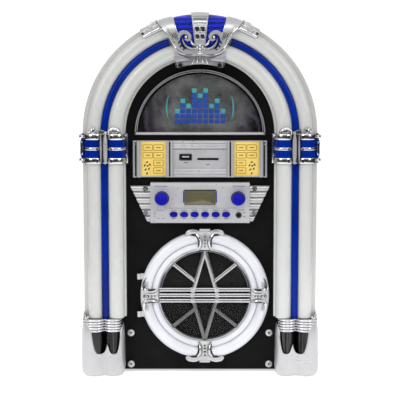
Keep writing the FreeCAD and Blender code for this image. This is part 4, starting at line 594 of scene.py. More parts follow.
def add_boot_leg(piece, spot, side):
    """The boot's body, plain below and ridged above."""
    def row(height, lift):
        return [(side * x, y, height) for x, y in boot_section(lift, spot.near, spot.far)]

    low = spot.bottom + PLAIN_FOOT
    plain = [row(h, 0.2) for h in steps(low, RIDGE_FOOT - 0.3, 6)]
    ridges = []
    for n in range(BOOT_RIDGES):
        middle = RIDGE_FOOT + RIDGE_PITCH * (n + 0.5)
        for a in steps(-80, 80, RIDGE_ROWS):
            turn = math.radians(a)
            ridges.append(row(middle + RIDGE_PITCH / 2 * math.sin(turn), 0.1 + 1.8 * math.cos(turn)))
    crest = [row(spot.top, 0.6), row(spot.top, -2.5), row(low, -2.5)]
    shell = sheet(plain + ridges + crest, wrap_rows=True, caps=True)

    def finish(face):
        """Painted shade and reflection in dark chrome below the ridges. The valleys get the same in front,
        and a dark grey painted shade round the boot's sides.
        """
        strip, place = divmod(face, len(plain[0]) - 1)
        ridge_row = strip - len(plain)
        if ridge_row < 0:
            return PAINTED_SHADE_CHROME
        if ridge_row < len(ridges) and ridge_row % RIDGE_ROWS in (0, RIDGE_ROWS - 1):
            near, far = VALLEY_SHADE_SPAN
            return PAINTED_SHADE_CHROME if near < abs(plain[0][place][0]) < far else DARK_METAL_AND_SHADE
        return CHROME

    piece.add(shell, *[finish(face) for face in range(len(shell[1]))])


def add_boot_skirt(piece, spot, side):
    """The pale shell round the boot. It leans in above, rolls under at the floor and swells a little on
    its inner side near the foot."""
    foot = spot.bottom
    outline = boot_section(SKIRT_LIFT, spot.near, spot.far, SKIRT_FILL)
    tops = [skirt_top(x, foot - 0.8) for x, _ in outline]
    swell_end = outline[SWELL_POINTS][0]

    def lift_at(height):
        if height > SKIRT_LEAN:
            return SKIRT_LIFT - 2.0 * ((height - SKIRT_LEAN) / 22) ** 1.2
        if height < foot + SKIRT_ROLL:
            sink = (foot + SKIRT_ROLL - height) / SKIRT_ROLL
            return SKIRT_LIFT - 4.2 * (1 - math.sqrt(max(0.0, 1 - sink ** 2)))
        return SKIRT_LIFT

    def row(share, drop, extra=0.0):
        """The skirt at a share of its height, drop inside its face and extra above that share."""
        made = []
        for j, top in enumerate(tops):
            height = blend(foot, top, share) + extra
            x, y = boot_section(lift_at(height) - drop, spot.near, spot.far, SKIRT_FILL)[j]
            swell = 1.3 * (1 - (height - foot) / 64) ** 1.5 if x < swell_end else 0.0
            made.append((side * (x - swell), y, height))
        return made

    shares = [0, 0.012, 0.03, 0.06, 0.1, 0.16, 0.26, 0.4, 0.55, 0.7, 0.82, 0.9, 0.96, 1]
    outer = [row(s, 0) for s in shares]
    rim = [row(1, 0.35, 0.35), row(1, 0.95, 0.35), row(1, 1.35, 0)]
    inside = [row(s, 1.6) for s in (0.9, 0.6, 0.3, 0.02)]
    piece.add(sheet(outer + rim + inside, wrap_rows=True, caps=True), PALE_PLATING)


def make_boot(side):
    name = HAND[side] + "_boot"
    spot = Place(name)
    piece = Piece(name + "_moulding")
    add_boot_leg(piece, spot, side)
    add_boot_skirt(piece, spot, side)
    piece.build("cabinet", "chrome_trim", name, crease=50)


# ---------------------------------------------------------------- collars


def make_collar(side):
    name = HAND[side] + "_collar"
    spot = Place(name)
    piece = Piece(name + "_bands")
    wide, thin = 7.0, 3.6
    for low, high in ((spot.bottom, spot.bottom + wide), (spot.top - wide, spot.top),
                      (spot.z - thin / 2, spot.z + thin / 2)):
        piece.add(band(tube_section, rounded_band(low, high, 2.9, 1.1), on_column(side)), CHROME)
    # Dark windows beside the middle of each band.
    for height, tall in ((spot.bottom + 3.5, 1.9), (spot.z, 1.2), (spot.top - 3.5, 1.9)):
        for offset in (-8.2, 7.6):
            window = centred(side * (GROOVE + offset), height, 1.1, tall, 0.4, 3)
            piece.add(plate(window, column.front - 3.15, column.front + 1, 0.2), SHADOW)
    add_collar_bars(piece, spot, side)
    add_collar_bulbs(piece, spot, side)
    piece.build("cabinet", "chrome_trim", name)
    make_side_plate(spot, side)
    make_crest(spot, side)


def add_collar_bars(piece, spot, side):
    """A tall bar and a thin one over the groove, with a dark slot between them."""
    low, high = spot.bottom - 0.3, spot.top + 0.8
    front = column.front - 1.2
    bar = [(side * (GROOVE - 1.6), front, h) for h in steps(low, high, 12)]
    piece.add(strand(bar, [0.8, 2.3, 2.5, 2.5, 2.3, 0.8], 2.2, sides=14), PALE_PLATING)
    bar = [(side * (GROOVE + 3.6), front, h) for h in steps(low + 1.5, high - 1, 8)]
    piece.add(strand(bar, [0.5, 1.1, 1.1, 0.5], 1.4), PALE_PLATING)
    x = side * (GROOVE + 1.9)
    piece.add(plate(rounded(x - 1.2, low + 1, x + 1.2, high - 1, 0.5, 3), column.front - 0.6,
                    column.front + 3, 0.2), SHADOW)


def add_collar_bulbs(piece, spot, side):
    """Bulbs at the ends of a bracket down the outer side."""
    outside = column.far + 1.2
    for height in (spot.bottom + 3.6, spot.top - 3.6):
        bulb = smooth([(side * (outside - 2.5), PANEL - 13, height), (side * outside, PANEL - 10, height),
                       (side * (outside + 0.6), PANEL - 6, height)], 5)
        size = [0.8, 2.4, 2.9, 2.0]
        piece.add(strand(bulb, size, size, Vector((0, 0, 1)), 14), CHROME)
    bracket = [(side * (outside - 0.4), PANEL - 11.5, h) for h in steps(spot.bottom + 8, spot.top - 8, 9)]
    piece.add(strand(bracket, [0.9, 2.4, 2.4, 1.8, 2.4, 2.4, 0.9], 1.9, Vector((side, -1, 0)), 14), CHROME)


def make_side_plate(spot, side):
    """The scalloped plate on the collar's inner side, on a dark blue backing, with its screw."""
    piece = Piece(HAND[side] + "_collar_plate")
    far, near = spot.near + 5.4, spot.near + 0.2
    tall = spot.top - spot.bottom

    def wavy(reach):
        edge = [(reach + 1.1 * math.cos(math.tau * 2.5 * s), spot.bottom + tall * s)
                for s in steps(0.03, 0.97, 26)]
        return [(side * x, z) for x, z in [*edge, (near, spot.top), (near, spot.bottom)]]

    piece.add(plate(wavy(far + 1.4), PANEL - 13.4, PANEL - 0.2, 0.3), STRIPE_BLUE)
    piece.add(plate(wavy(far - 1.6), PANEL - 14.2, PANEL - 13, 0.4), CHROME)
    screw_head(piece, side * (near + 1.9), spot.bottom + 9.5, PANEL - 14.6, 1.1, SCREW_STEEL, SHADOW)
    piece.build("cabinet", "chrome_trim")


def leaf(points, width, height=1.3, vein=0.5):
    """A tapered leaf along a given path."""
    return strand(smooth(points, 6), [0.25 * width, 0.8 * width, width, 0.7 * width, 0.12 * width],
                  [0.5 * height, height, height, 0.8 * height, 0.3 * height], vein=vein, sides=12)


def make_crest(spot, side):
    """The leaves that stand on the collar's top edge."""
    piece = Piece(HAND[side] + "_collar_crest")
    top = spot.top
    front = column.front - 1.0
    outer, inner = OUTER_LOBE[0], INNER_LOBE[0]

    def line(*points):
        return [(side * x, y, top + z) for x, y, z in points]

    # A spray of leaves on the outer lobe, tallest in the middle.
    spray = ((6.5, 3.4, 1.5), (4.6, 6.4, 1.6), (2.2, 8.2, 1.7), (-0.6, 8.6, 1.7), (-3.2, 6.2, 1.6))
    for lean, tall, wide in spray:
        depth = front + 0.06 * lean ** 2
        piece.add(leaf(line((outer + 0.25 * lean, depth, -1), (outer + 0.7 * lean, depth - 0.8, 0.5 * tall),
                            (outer + 1.15 * lean, depth, tall)), wide), CHROME)
    # A pointed flap over the end of the stripe, with a dark notch.
    flap = [(GROOVE - 5.2, -0.6), (GROOVE + 5.8, -0.6), (GROOVE + 5.2, 5.6), (GROOVE - 4.0, 2.6)]
    flap = [(side * x, top + z) for x, z in flap]
    piece.add(plate(flap, front + 0.2, front + 4.5, 0.7, dish=0.5), CHROME)
    x = side * (GROOVE + 1.2)
    notch = rounded(x - 0.9, top + 0.2, x + 0.9, top + 2.6, 0.3, 3)
    piece.add(plate(notch, front + 0.35, front + 1, 0.1), SHADOW)
    # A curled leaf on the inner lobe, and three small ones.
    curl = line((inner + 7.6, front + 1.4, -0.6), (inner + 6.6, front, 3.4), (inner + 2.6, front - 0.8, 6.4),
                (inner - 2.8, front - 0.4, 5.0), (inner - 5.4, front + 0.6, 1.6), (inner - 3.2, front, -0.4))
    piece.add(strand(smooth(curl, 7), [1.0, 1.5, 1.9, 1.8, 1.4, 0.7], 1.5, vein=0.5, sides=12), CHROME)
    for reach, tall in ((4.2, 3.4), (0.4, 4.4), (-3.0, 3.0)):
        piece.add(leaf(line((inner + 0.5, front + 0.6, -1), (inner + 0.6 * reach, front - 0.2, 0.5 * tall),
                            (inner + reach, front, tall)), 1.3), SATIN_CHROME)
    piece.build("cabinet", "chrome_trim")


# ---------------------------------------------------------------- crown

crown = Place("crown_casting")
# The straps are true to their angles at this distance, and this much wider for their depth beyond it.
STRAP_MIDDLE, STRAP_DEPTH, STRAP_FLARE = 107, 24, 0.15


def crown_section(lift):
    """The crown's smooth outline over both lobes, from the bracket to the back of the arch's top."""
    rise = [(91, 14), (93, 21), (98, 25.6), (106, 27.4), (114, 28.2), (122, 27.6), (129, 24.4),
            (133.6, 18.5), (135.2, 11), (135.2, 0.2)]
    path = smooth([(r, PANEL - d, 0) for r, d in rise], 4)
    found = []
    for i, point in enumerate(path):
        along = (path[min(i + 1, len(path) - 1)] - path[max(i - 1, 0)]).normalized()
        found.append((point.x + along.y * lift, point.y - along.x * lift))
    return found


def on_crown(angle, distance, depth):
    """A point of the crown, whose straps widen a little towards the top."""
    return on_arch(angle * (1 + STRAP_FLARE * (distance - STRAP_MIDDLE) / STRAP_DEPTH), distance, depth)


def on_flare(side):
    """Places for a side strap, from 0 at its edge beside the blue insert to 1 at its flared outer edge."""
    def place(share, distance, depth):
        rise = (distance - 97) / 40
        near, far = blend(12.0, 13.2, rise), blend(15.4, 21.6, max(0.0, rise) ** 1.3)
        return on_arch(side * blend(near, far, share), distance, depth)

    return place


def outer_section(lift):
    """The tube section over the outer side of the outer lobe."""
    outer, big = OUTER_LOBE
    return [*arc(outer, LOBE_Y, big + lift, 296, 360, 14), (column.far + lift, LOBE_Y + SHOULDER),
            (column.far + lift, PANEL)]


def crown_strap(start, end, lift, edge=0.45):
    profile = [(start, 0.1), (start, lift - 0.8), (start + 0.4 * edge, lift - 0.2), (start + edge, lift)]
    profile += [(blend(start, end, s), lift + 0.25 * math.sin(math.pi * s)) for s in (0.3, 0.5, 0.7)]
    profile += [(end - edge, lift), (end - 0.4 * edge, lift - 0.2), (end, lift - 0.8), (end, 0.1)]
    return band(crown_section, profile, on_crown)


def add_middle_strap(straps):
    """The middle strap, with ribs across its top and pairs of framed coffers lower down."""
    face = crown.front + 0.4
    straps.add(crown_strap(-3.6, 3.6, 3.4), PALE_PLATING)
    for height, half in ((-6.6, 8.4), (-9.6, 8.0), (-14.2, 7.4)):
        z = crown.top + height
        rib = flat([(-half, z), (0, z + 0.2), (half, z)], face + 1.8)
        straps.add(strand(smooth(rib, 5), 0.55, 1.1), CHROME)
    for row, (z, tall) in enumerate(((crown.top - 21.0, 3.2), (crown.top - 29.2, 3.0))):
        for side in (-1, 1):
            coffer = centred(side * (3.2 - 0.3 * row), z, 2.2 - 0.15 * row, tall, 0.8, 4)
            straps.add(plate(coffer, face + 0.1, face + 3, 0.2), SHADOW)
            straps.add(strand(flat(coffer, face + 0.1), 0.6, 0.8, closed=True, sides=8), CHROME)


def add_side_strap(straps, side):
    """A flared strap: thin slots beside the insert, a bold outer edge and finer ribs."""
    place = on_flare(side)
    profile = [(0, 0.1), (0, 1.8), (0.03, 2.4), (0.08, 2.6), (0.5, 2.9), (0.9, 2.6), (0.96, 2.4), (1, 1.8),
               (1, 0.1)]
    straps.add(band(crown_section, profile, place), PALE_PLATING)
    for share, near, far in ((0.22, 105, 118), (0.40, 107, 120), (0.58, 112, 119)):
        path = [place(share, r, PANEL - 31.0 + 0.014 * (r - 113) ** 2) for r in steps(near, far, 6)]
        straps.add(strand(path, [0.3, 0.55, 0.3], 0.4, sides=8), SHADOW)
    ridge = ((98, 82), (104, 84.6), (112, 85.6), (120, 85.4), (127, 83), (132, 78), (136.6, 70.5))
    for share, wide in ((0.02, 0.7), (0.7, 0.5), (0.84, 0.5), (0.98, 1.3)):
        path = [place(share, r, -d) for r, d in ridge]
        straps.add(strand(smooth(path, 5), wide, 0.8), CHROME)


def make_crown():
    straps = Piece("crown_straps")
    add_middle_strap(straps)
    for side in (-1, 1):
        add_side_strap(straps, side)
    straps.build("cabinet", "chrome_trim", "crown_casting")
    make_wings()
    make_scrolls()
    make_bracket()
    make_insert()


def make_wings():
    """Layered plates that lie down the outer side of the outer lobe on each side."""
    piece = Piece("crown_wings")
    for side in (-1, 1):
        low, high = sorted((side * 19.0, side * 30.2))
        piece.add(band(outer_section, rounded_band(low, high, 1.6, 0.4), on_arch), PALE_PLATING)
        plates = [(126.8, 30.4, 1.9, 24.6), (129.6, 30.9, 2.1, 22.6), (132.4, 30.6, 2.2, 19.0),
                  (135.0, 29.4, 2.1, 13.8), (136.8, 27.2, 1.7, 8.0)]
        for n, (radius, reach, wide, deep) in enumerate(plates):
            path = [on_arch(side * blend(18.0, reach, s), radius - 0.8 * s,
                            PANEL - deep - 0.8 * math.sin(3 * s)) for s in steps(0, 1, 12)]
            widths = [wide, wide, wide * 0.98, wide * 0.92, wide * 0.7]
            out = Vector((side * 0.25, -1.0, 0.5 + 0.25 * n))
            piece.add(strand(path, widths, [0.9, 1.2, 1.2, 1.1, 0.8], out, 12, vein=0.3),
                      PALE_PLATING if n % 2 else CHROME)
        slot = [on_arch(side * a, 130.0, PANEL - 24.0) for a in (29.2, 29.9, 30.5)]
        piece.add(strand(slot, 1.3, 0.7, sides=10), SHADOW)
        for start in (21.5, 24.5, 27.2):
            step = [on_arch(side * (start + 0.4 * (r - 126) / 10), r, PANEL - d) for r, d in
                    ((126, 26), (130, 24.2), (133, 20), (135.6, 14))]
            piece.add(strand(smooth(step, 4), 0.5, 0.9), CHROME)
    piece.build("cabinet", "chrome_trim")


def make_scrolls():
    """The two scrolls that curl up from the rosette, and the rosette."""
    piece = Piece("crown_scrolls")
    rose_z = crown.bottom + 22.2
    face = crown.front + 1.2
    for side in (-1, 1):
        def line(*points):
            return smooth([(side * x, face + y, rose_z + z) for x, y, z in points], 7)

        scroll = line((2, 0.6, -2.2), (9, 1, -3.8), (17, 1.4, -2.6), (23.0, 1.6, 1.6), (25.6, 1.8, 8.2),
                      (23.8, 1.6, 14.8), (18.8, 1.2, 18.6), (13.4, 0.8, 17.0), (11.4, 0.4, 13.0),
                      (13.6, 0.2, 9.8), (16.8, 0.2, 11.4))
        piece.add(strand(scroll, [1.6, 2.2, 2.6, 2.8, 2.8, 2.6, 2.4, 2.1, 1.9, 1.6, 1.1], 2.0, vein=0.35,
                         sides=14), PALE_PLATING)
        piece.add(bead(side * 15.6, face, rose_z + 13.4, 1.7), CHROME)
        inner = line((4, 1.6, 0.4), (10, 1.8, 0.2), (15.6, 2, 3.0), (19, 2.4, 8.0), (19.2, 2.4, 12.4))
        piece.add(strand(inner, [1.0, 1.4, 1.5, 1.2, 0.5], 1.5, sides=12), SATIN_CHROME)
        for x, z, lean in ((21.4, 3.4, 40), (23.4, 7.6, 20), (17.6, 0.2, 58)):
            a = math.radians(lean)
            reach = Vector((side * math.sin(a), 0, -math.cos(a))) * 2.0
            middle = Vector((side * x, face - 0.2, rose_z + z))
            piece.add(strand([middle - reach, middle + reach], 0.8, 0.6, sides=8), SHADOW)
        piece.add(leaf([(side * 5, face + 1, rose_z + 3), (side * 9, face + 0.4, rose_z + 6.4),
                        (side * 10.4, face + 1, rose_z + 11)], 1.5), CHROME)
        under = line((7, 1.8, -5.6), (15, 2.4, -6.4), (22, 3, -4.2), (27.4, 3.4, 1.4))
        piece.add(strand(under, [0.5, 1.1, 1.3, 0.8], 1.3), CHROME)
    rosette = [(6.0, face + 3), (6.0, face + 1.2), (5.2, face + 0.4), (4.0, face + 0.8), (0.02, face + 0.8)]
    piece.add(lathe(rosette, 0, rose_z), CHROME)
    petals = 6
    for n in range(petals):
        a = math.tau * (n + 0.5) / petals
        piece.add(bead(3.4 * math.cos(a), face + 0.7, rose_z + 3.4 * math.sin(a), 1.55, 1.1, 16), CHROME)
    piece.add(bead(0, face + 0.5, rose_z, 1.9, 1.6), CHROME)
    piece.build("cabinet", "chrome_trim")


BRACKET_SCREW_X = 22.4
BRACKET_SCREW_Z = 358.4


def make_bracket():
    """The bow-tie bracket under the rosette, on the arch's inner edge."""
    piece = Piece("crown_bracket")
    low = crown.bottom
    front, back = PANEL - 17.0, PANEL - 0.2
    inner = low + 0.4 - ARCH_Z + 4.6

    def bottom(x):
        return ARCH_Z + math.sqrt(inner ** 2 - x ** 2)

    lower = [(x, bottom(x)) for x in steps(-25.4, 25.4, 15)]
    upper = [(29.6, low + 16.4), (22, low + 14.8), (12, low + 13.2), (7, low + 15.4), (-7, low + 15.4),
             (-12, low + 13.2), (-22, low + 14.8), (-29.6, low + 16.4)]
    piece.add(plate(lower + upper, front, back, 0.7), PALE_PLATING)
    for side in (-1, 1):
        wedge = [(11.0, low + 9.6), (20, low + 8.6), (27.8, low + 7.4), (29.6, low + 17.6), (20, low + 14.6)]
        wedge = [(side * x, z) for x, z in wedge]
        piece.add(plate(wedge, front - 9.4, front - 1.0, 0.9), PALE_PLATING)
        edge = ((28.4, low + 9), (27.2, low + 4), (25.6, low + 1.4), (19, low + 3.0), (11, low + 4.4))
        edge = smooth([(side * x, front - 0.3, z) for x, z in edge], 5)
        piece.add(strand(edge, 0.5, 0.6), CHROME)
        for foot_x, foot_z, top_x in ((9.6, 5.6, 4.4), (3.8, 7.2, 1.6)):
            ray = smooth([(side * top_x, front - 0.8, low + 14.4),
                          (side * blend(top_x, foot_x, 0.45), front - 1, low + 10.6),
                          (side * foot_x, front - 0.4, low + foot_z)], 5)
            piece.add(strand(ray, [0.5, 0.8, 0.9, 1.4], [0.7, 0.9, 0.9, 0.5]), CHROME)
        # Painted shade: the screws sit dark in their deep holes.
        screw_head(piece, side * BRACKET_SCREW_X, BRACKET_SCREW_Z, front - 1.7, 2.75, PAINTED_SHADE_CHROME, SHADOW,
                   sink=2.2)
    piece.build("cabinet", "chrome_trim")


def make_insert():
    """The ribbed blue skin between the straps."""
    piece = Piece("crown_insert_ribs")
    for side in (-1, 1):
        def section(lift):
            path = crown_section(lift - 1.6)
            fine = smooth([(r, y, 0) for r, y in path[8:]], 6)
            ribs = [0.45 * abs(math.sin(0.42 * i)) for i in range(len(fine))]
            return [(p.x + 0.3 * rib, p.y - rib) for p, rib in zip(fine, ribs)]

        low, high = sorted((side * 3.4, side * 12.2))
        profile = [(a, 1.4) for a in steps(low, high, 6)]
        piece.add(band(section, profile, on_crown), INSERT_BLUE)
    piece.build("cabinet", "insert_blue", "crown_insert", crease=60)


# ---------------------------------------------------------------- door

ring = Place("door_ring")
grille = Place("door_grille")
DOOR_X, DOOR_Z = ring.x, ring.z


GRILLE_WAIST = 15.0
BAR_PITCH = 6.5


def add_grille_rings(piece, rim):
    """Two bright rings and the dark bezel between them, dark grey as painted shade in the gap."""
    front, back = grille.front, grille.back
    for radius, wide in ((rim - 0.9, 0.9), (rim - 3.3, 0.7)):
        outside, inside = radius + wide, radius - wide
        profile = [(outside, back - 0.4), (outside, front + 1.9), (radius, front + 1.0),
                   (inside, front + 1.9), (inside, back - 0.4)]
        piece.add(lathe(profile, DOOR_X, DOOR_Z, closed=True, count=96), CHROME)
    bezel = [(rim - 0.4, back), (rim - 0.4, front + 2.6), (rim - 3.8, front + 2.6), (rim - 3.8, back)]
    piece.add(lathe(bezel, DOOR_X, DOOR_Z, closed=True, count=96), DARK_METAL_AND_SHADE)


def add_grille_spokes(piece, rim):
    """Spokes from the waist to the top and bottom, each with a branch to the rim. The lower ones are
    darker, with painted shade."""
    front = grille.front
    for up in (-1, 1):
        for side in (-1, 1):
            top = Vector((DOOR_X, front + 1.5, DOOR_Z + up * (rim - 2.4)))
            foot = Vector((DOOR_X + side * GRILLE_WAIST, front + 1.5, DOOR_Z))
            metal = SATIN_CHROME if up > 0 else LOWER_SHADE_CHROME
            piece.add(strand([top, foot], 2.4, 1.0, sides=12, vein=0.25), metal)
            reach = (rim - 2.4) * 0.7
            out = Vector((DOOR_X + side * reach, front + 1.6, DOOR_Z + up * reach))
            piece.add(strand([top.lerp(foot, 0.7), out], 2.1, 1.0, sides=12, vein=0.25), metal)


def make_grille():
    piece = Piece("door_grille_bars")
    rim = grille.half_wide
    front = grille.front
    add_grille_rings(piece, rim)
    add_grille_spokes(piece, rim)
    for n in (-1, 0, 1):
        z = DOOR_Z + BAR_PITCH * n
        half = math.sqrt((rim - 1.5) ** 2 - (BAR_PITCH * n) ** 2)
        piece.add(plate(centred(DOOR_X, z, half, 2.3, 0.5, 3), front + 1.0, front + 2.6, 0.3), SHADOW)
        for offset in (-1.3, 1.3):
            piece.add(level_rod(DOOR_X - half, DOOR_X + half, front + 0.8, z + offset, 0.95, 1.0, 12), CHROME)
    for side in (-1, 1):
        for n in (-1, 0, 1):
            clasp = centred(DOOR_X + side * GRILLE_WAIST * 0.96, DOOR_Z + BAR_PITCH * n, 2.2, 2.5, 0.8, 4)
            piece.add(plate(clasp, front - 0.1, front + 2, 0.4), PALE_PLATING)
    piece.build("cd_door", "chrome_trim", "door_grille")


ORNAMENT_FRONT = Place("door_ornaments").front


def make_ornament(name, turn, reach):
    """One of the four castings that clasp the ring. turn is its angle round the door, 0 at the top, and
    reach the distance of its outer end. Every one has a waisted pillar with beads. The upper and lower
    ones end in a block with two scrolled arms, the others in leaves that follow the ring's edge."""
    piece = Piece(name)
    a = math.radians(turn)
    out = Vector((math.sin(a), 0, math.cos(a)))
    across = Vector((math.cos(a), 0, -math.sin(a)))
    face = ORNAMENT_FRONT + 0.4
    has_arms = turn in (0, 180)

    def spot(along, aside, depth=0.0):
        middle = Vector((DOOR_X, face + depth + 0.012 * (along - 66) ** 2, DOOR_Z))
        return middle + out * along + across * aside

    pillar = [spot(r, 0, 1.4) for r in steps(54.4, reach - 5, 12)]
    piece.add(strand(pillar, [6.4, 4.2, 3.4, 3.2, 3.6, 4.6, 6.4], [1.2, 2.2, 2.4, 2.4, 2.2, 1.8], sides=18),
              PALE_PLATING)
    # Painted shade: each bead is a dark one with a smaller bright one set on it.
    for r, size in ((58.4, 1.1), (62.0, 1.4), (66.0, 1.6), (70.0, 1.4)):
        piece.add(bead(*spot(r, 0, -0.8), size, 1.0, 18), PAINTED_SHADE_CHROME)
        piece.add(bead(*spot(r + 0.3, 0, -1.3), 0.55 * size, 0.7, 14), CHROME)
    for side in (-1, 1):
        def line(*points, start=0.0):
            """A curve through points (along, aside, depth), along measured from start."""
            return smooth([spot(start + along, side * aside, depth) for along, aside, depth in points], 6)

        waist = line((54.6, 7.4, 2.0), (59, 5.4, 0.4), (64, 5.0, -0.2), (69, 6.4, 0), (73, 10.0, 0.8))
        piece.add(strand(waist, [1.0, 1.3, 1.4, 1.5, 1.0], 1.6, vein=0.3, sides=12), CHROME)
        shade = line((58.0, 8.0, 2.6), (62, 6.9, 1.6), (66.5, 7.6, 1.4), (70.6, 10.6, 1.8))
        piece.add(strand(shade, [0.4, 1.0, 1.2, 0.4], 1.0, sides=12), PAINTED_SHADE_CHROME)
        if has_arms:
            arm = line((-7.5, 3.0, 0.6), (-4.8, 8.0, 0.2), (-3.8, 13.5, 0.6), (-4.8, 18.8, 1.4),
                       (-7.6, 20.8, 2.2), start=reach)
            piece.add(strand(arm, [1.8, 2.4, 2.8, 2.8, 2.0], [1.8, 2.1, 2.0, 1.4], sides=16), PALE_PLATING)
            shade = line((-9.4, 6.0, 0.6), (-7.8, 10.5, 0.4), (-7.6, 15.6, 1.0), start=reach)
            piece.add(strand(shade, [0.5, 1.0, 0.6], 1.0), PAINTED_SHADE_CHROME)
            vein = line((-3.2, 8.6, -1.2), (-2.6, 13.4, -1.0), (-4.0, 18.4, 0), start=reach)
            piece.add(strand(vein, [0.4, 0.8, 0.4], 0.9), CHROME)
            continue
        stem = line((-9, 4.0, 0.8), (-5.4, 9.0, 0.2), (-5.0, 15.0, 1.0), (-7.6, 21.5, 2.2), start=reach)
        piece.add(strand(stem, [1.8, 2.4, 2.1, 1.4, 0.4], [1.6, 1.9, 1.6, 0.9], vein=0.5, sides=14), CHROME)
        for start, tip in ((6.5, 9.0), (10.0, 13.4), (13.6, 17.6)):
            points = [spot(reach - 5.6, side * start, 0.2), spot(reach - 8.2, side * (start + 1.0), 0.4),
                      spot(reach - 10.4, side * tip, 1.8)]
            piece.add(leaf(points, 1.2), PALE_PLATING)
        piece.add(bead(*spot(reach - 6.4, side * 5.0, -0.6), 1.6, 1.2, 18), CHROME)
    if has_arms:
        for offset, wide in ((-4.6, 7.2), (-1.9, 6.0)):
            ends = ((-wide, 0.6), (0, 0), (wide, 0.6))
            block = [spot(reach + offset, aside, depth) for aside, depth in ends]
            piece.add(strand(block, 1.5, 1.7, sides=14), PALE_PLATING)
    else:
        boss = [(4.6, face + 4), (4.6, face + 0.6), (3.8, face - 0.2), (2.4, face + 0.3), (0.02, face + 0.3)]
        end = spot(reach - 8, 0)
        piece.add(lathe(boss, end.x, end.z, count=40), PALE_PLATING)
    return piece


def make_door():
    make_grille()
    upright, level = ring.top - DOOR_Z + 4.2, ring.right - DOOR_X + 0.6
    for end, turn, reach in (("top", 0, upright), ("bottom", 180, upright), ("left", 270, level),
                             ("right", 90, level)):
        replaced = ["door_ornaments"] if end == "top" else []
        make_ornament("door_ornament_" + end, turn, reach).build("cd_door", "chrome_trim", *replaced)


# ---------------------------------------------------------------- selection panel

panel = Place("selection_panel")
cards = Place("title_cards")


def make_cards():
    """Two printed title cards: six outlined boxes each, a rule in every box and a cluster of leaning
    strokes. Places and sizes on a card are shares of its width and height."""
    piece = Piece("title_cards_print")
    inner = panel.right - 38.0
    front = cards.front
    wide, tall = cards.far - inner, cards.top - cards.bottom
    for side in (-1, 1):
        left = min(side * inner, side * cards.far)
        card = rounded(left, cards.bottom, left + wide, cards.top, 0.3, 2)
        piece.add(plate(card, front, cards.back, 0.12), CARD)
        for column_index in range(2):
            for row_index in range(4):
                if row_index > 1 and (column_index == 0) == (side < 0):
                    continue
                x = left + wide * (0.28 + 0.42 * column_index)
                z = cards.top - tall * (0.165 + 0.225 * row_index)
                box = centred(x, z, 0.19 * wide, 0.082 * tall, 0.8, 4)
                piece.add(strand(flat(box, front - 0.02), 0.34, 0.05, closed=True, sides=6), CARD_LINE)
                rule = 0.09 * wide
                piece.add(level_rod(x - rule, x + rule, front - 0.02, z, 0.6, 0.05), CARD_LINE)
        x = left + wide * (0.26 if side < 0 else 0.72)
        for dx, drop, lean in ((-0.6, 23.4, 10), (4.2, 26.2, -50), (-4.2, 27.0, 60), (0.6, 27.6, 20),
                               (2.6, 31.0, 60), (-3.0, 32.0, 40), (-0.6, 36.4, 70)):
            b = math.radians(lean)
            middle = Vector((x + 0.7 * dx, front - 0.02, cards.top - drop))
            reach = Vector((math.cos(b), 0, math.sin(b))) * 1.6
            piece.add(strand([middle - reach, middle, middle + reach], [0.3, 1.0, 0.3], 0.06, sides=8), INK)
    piece.build("cabinet", "card_yellow", "title_cards")


def make_panel_trim():
    """Bright edges and dark channels on the selection panel's posts, and its small screws."""
    piece = Piece("selection_panel_trim")
    front = panel.front
    for side in (-1, 1):
        for x in (panel.right - 2.9, panel.right - 42.4):
            channel = rounded(side * x - 1.0, panel.bottom + 1.2, side * x + 1.0, panel.top - 1.2, 0.5, 3)
            piece.add(plate(channel, front - 0.04, front + 1.4, 0.1), SHADOW)
        for drop in (0.8, 5.2, 7.6, 39.2, 45.4):
            x = side * (panel.right - drop)
            rail = [(x, front + 0.2, z) for z in (panel.bottom + 0.4, panel.top - 0.4)]
            piece.add(strand(rail, 0.75, 0.7, sides=12), PALE_PLATING)
        screw_head(piece, side * (panel.right - 2.6), panel.top - 3.4, front - 0.5, 1.2, SCREW_STEEL, SHADOW)
    half = panel.right - 47.0
    for z in (panel.top - 2.0, panel.top - 5.4, panel.top - 8.4, panel.bottom + 2.0, panel.bottom + 5.4,
              panel.bottom + 8.8):
        piece.add(level_rod(-half, half, cards.front + 0.1, z, 0.95, 0.9, 12), PALE_PLATING)
        # Painted shade: a thin dark line under each rail.
        piece.add(level_rod(-half, half, cards.front + 0.4, z - 1.25, 0.3, 0.3), DARK_METAL_AND_SHADE)
    piece.build("cabinet", "silver_trim")
    make_sockets()


def slot_frame(spot, inside, outside, front, back):
    """A flat frame round the middle of a socket: half sizes of its opening and of its outline."""
    rows = []
    for (wide, tall), y in ((inside, back), (inside, front), (outside, front), (outside, back)):
        rows.append(flat(centred(spot.x, spot.z, wide, tall, 0.3, 3), y))
    return sheet(rows, wrap_rows=True, wrap_columns=True)


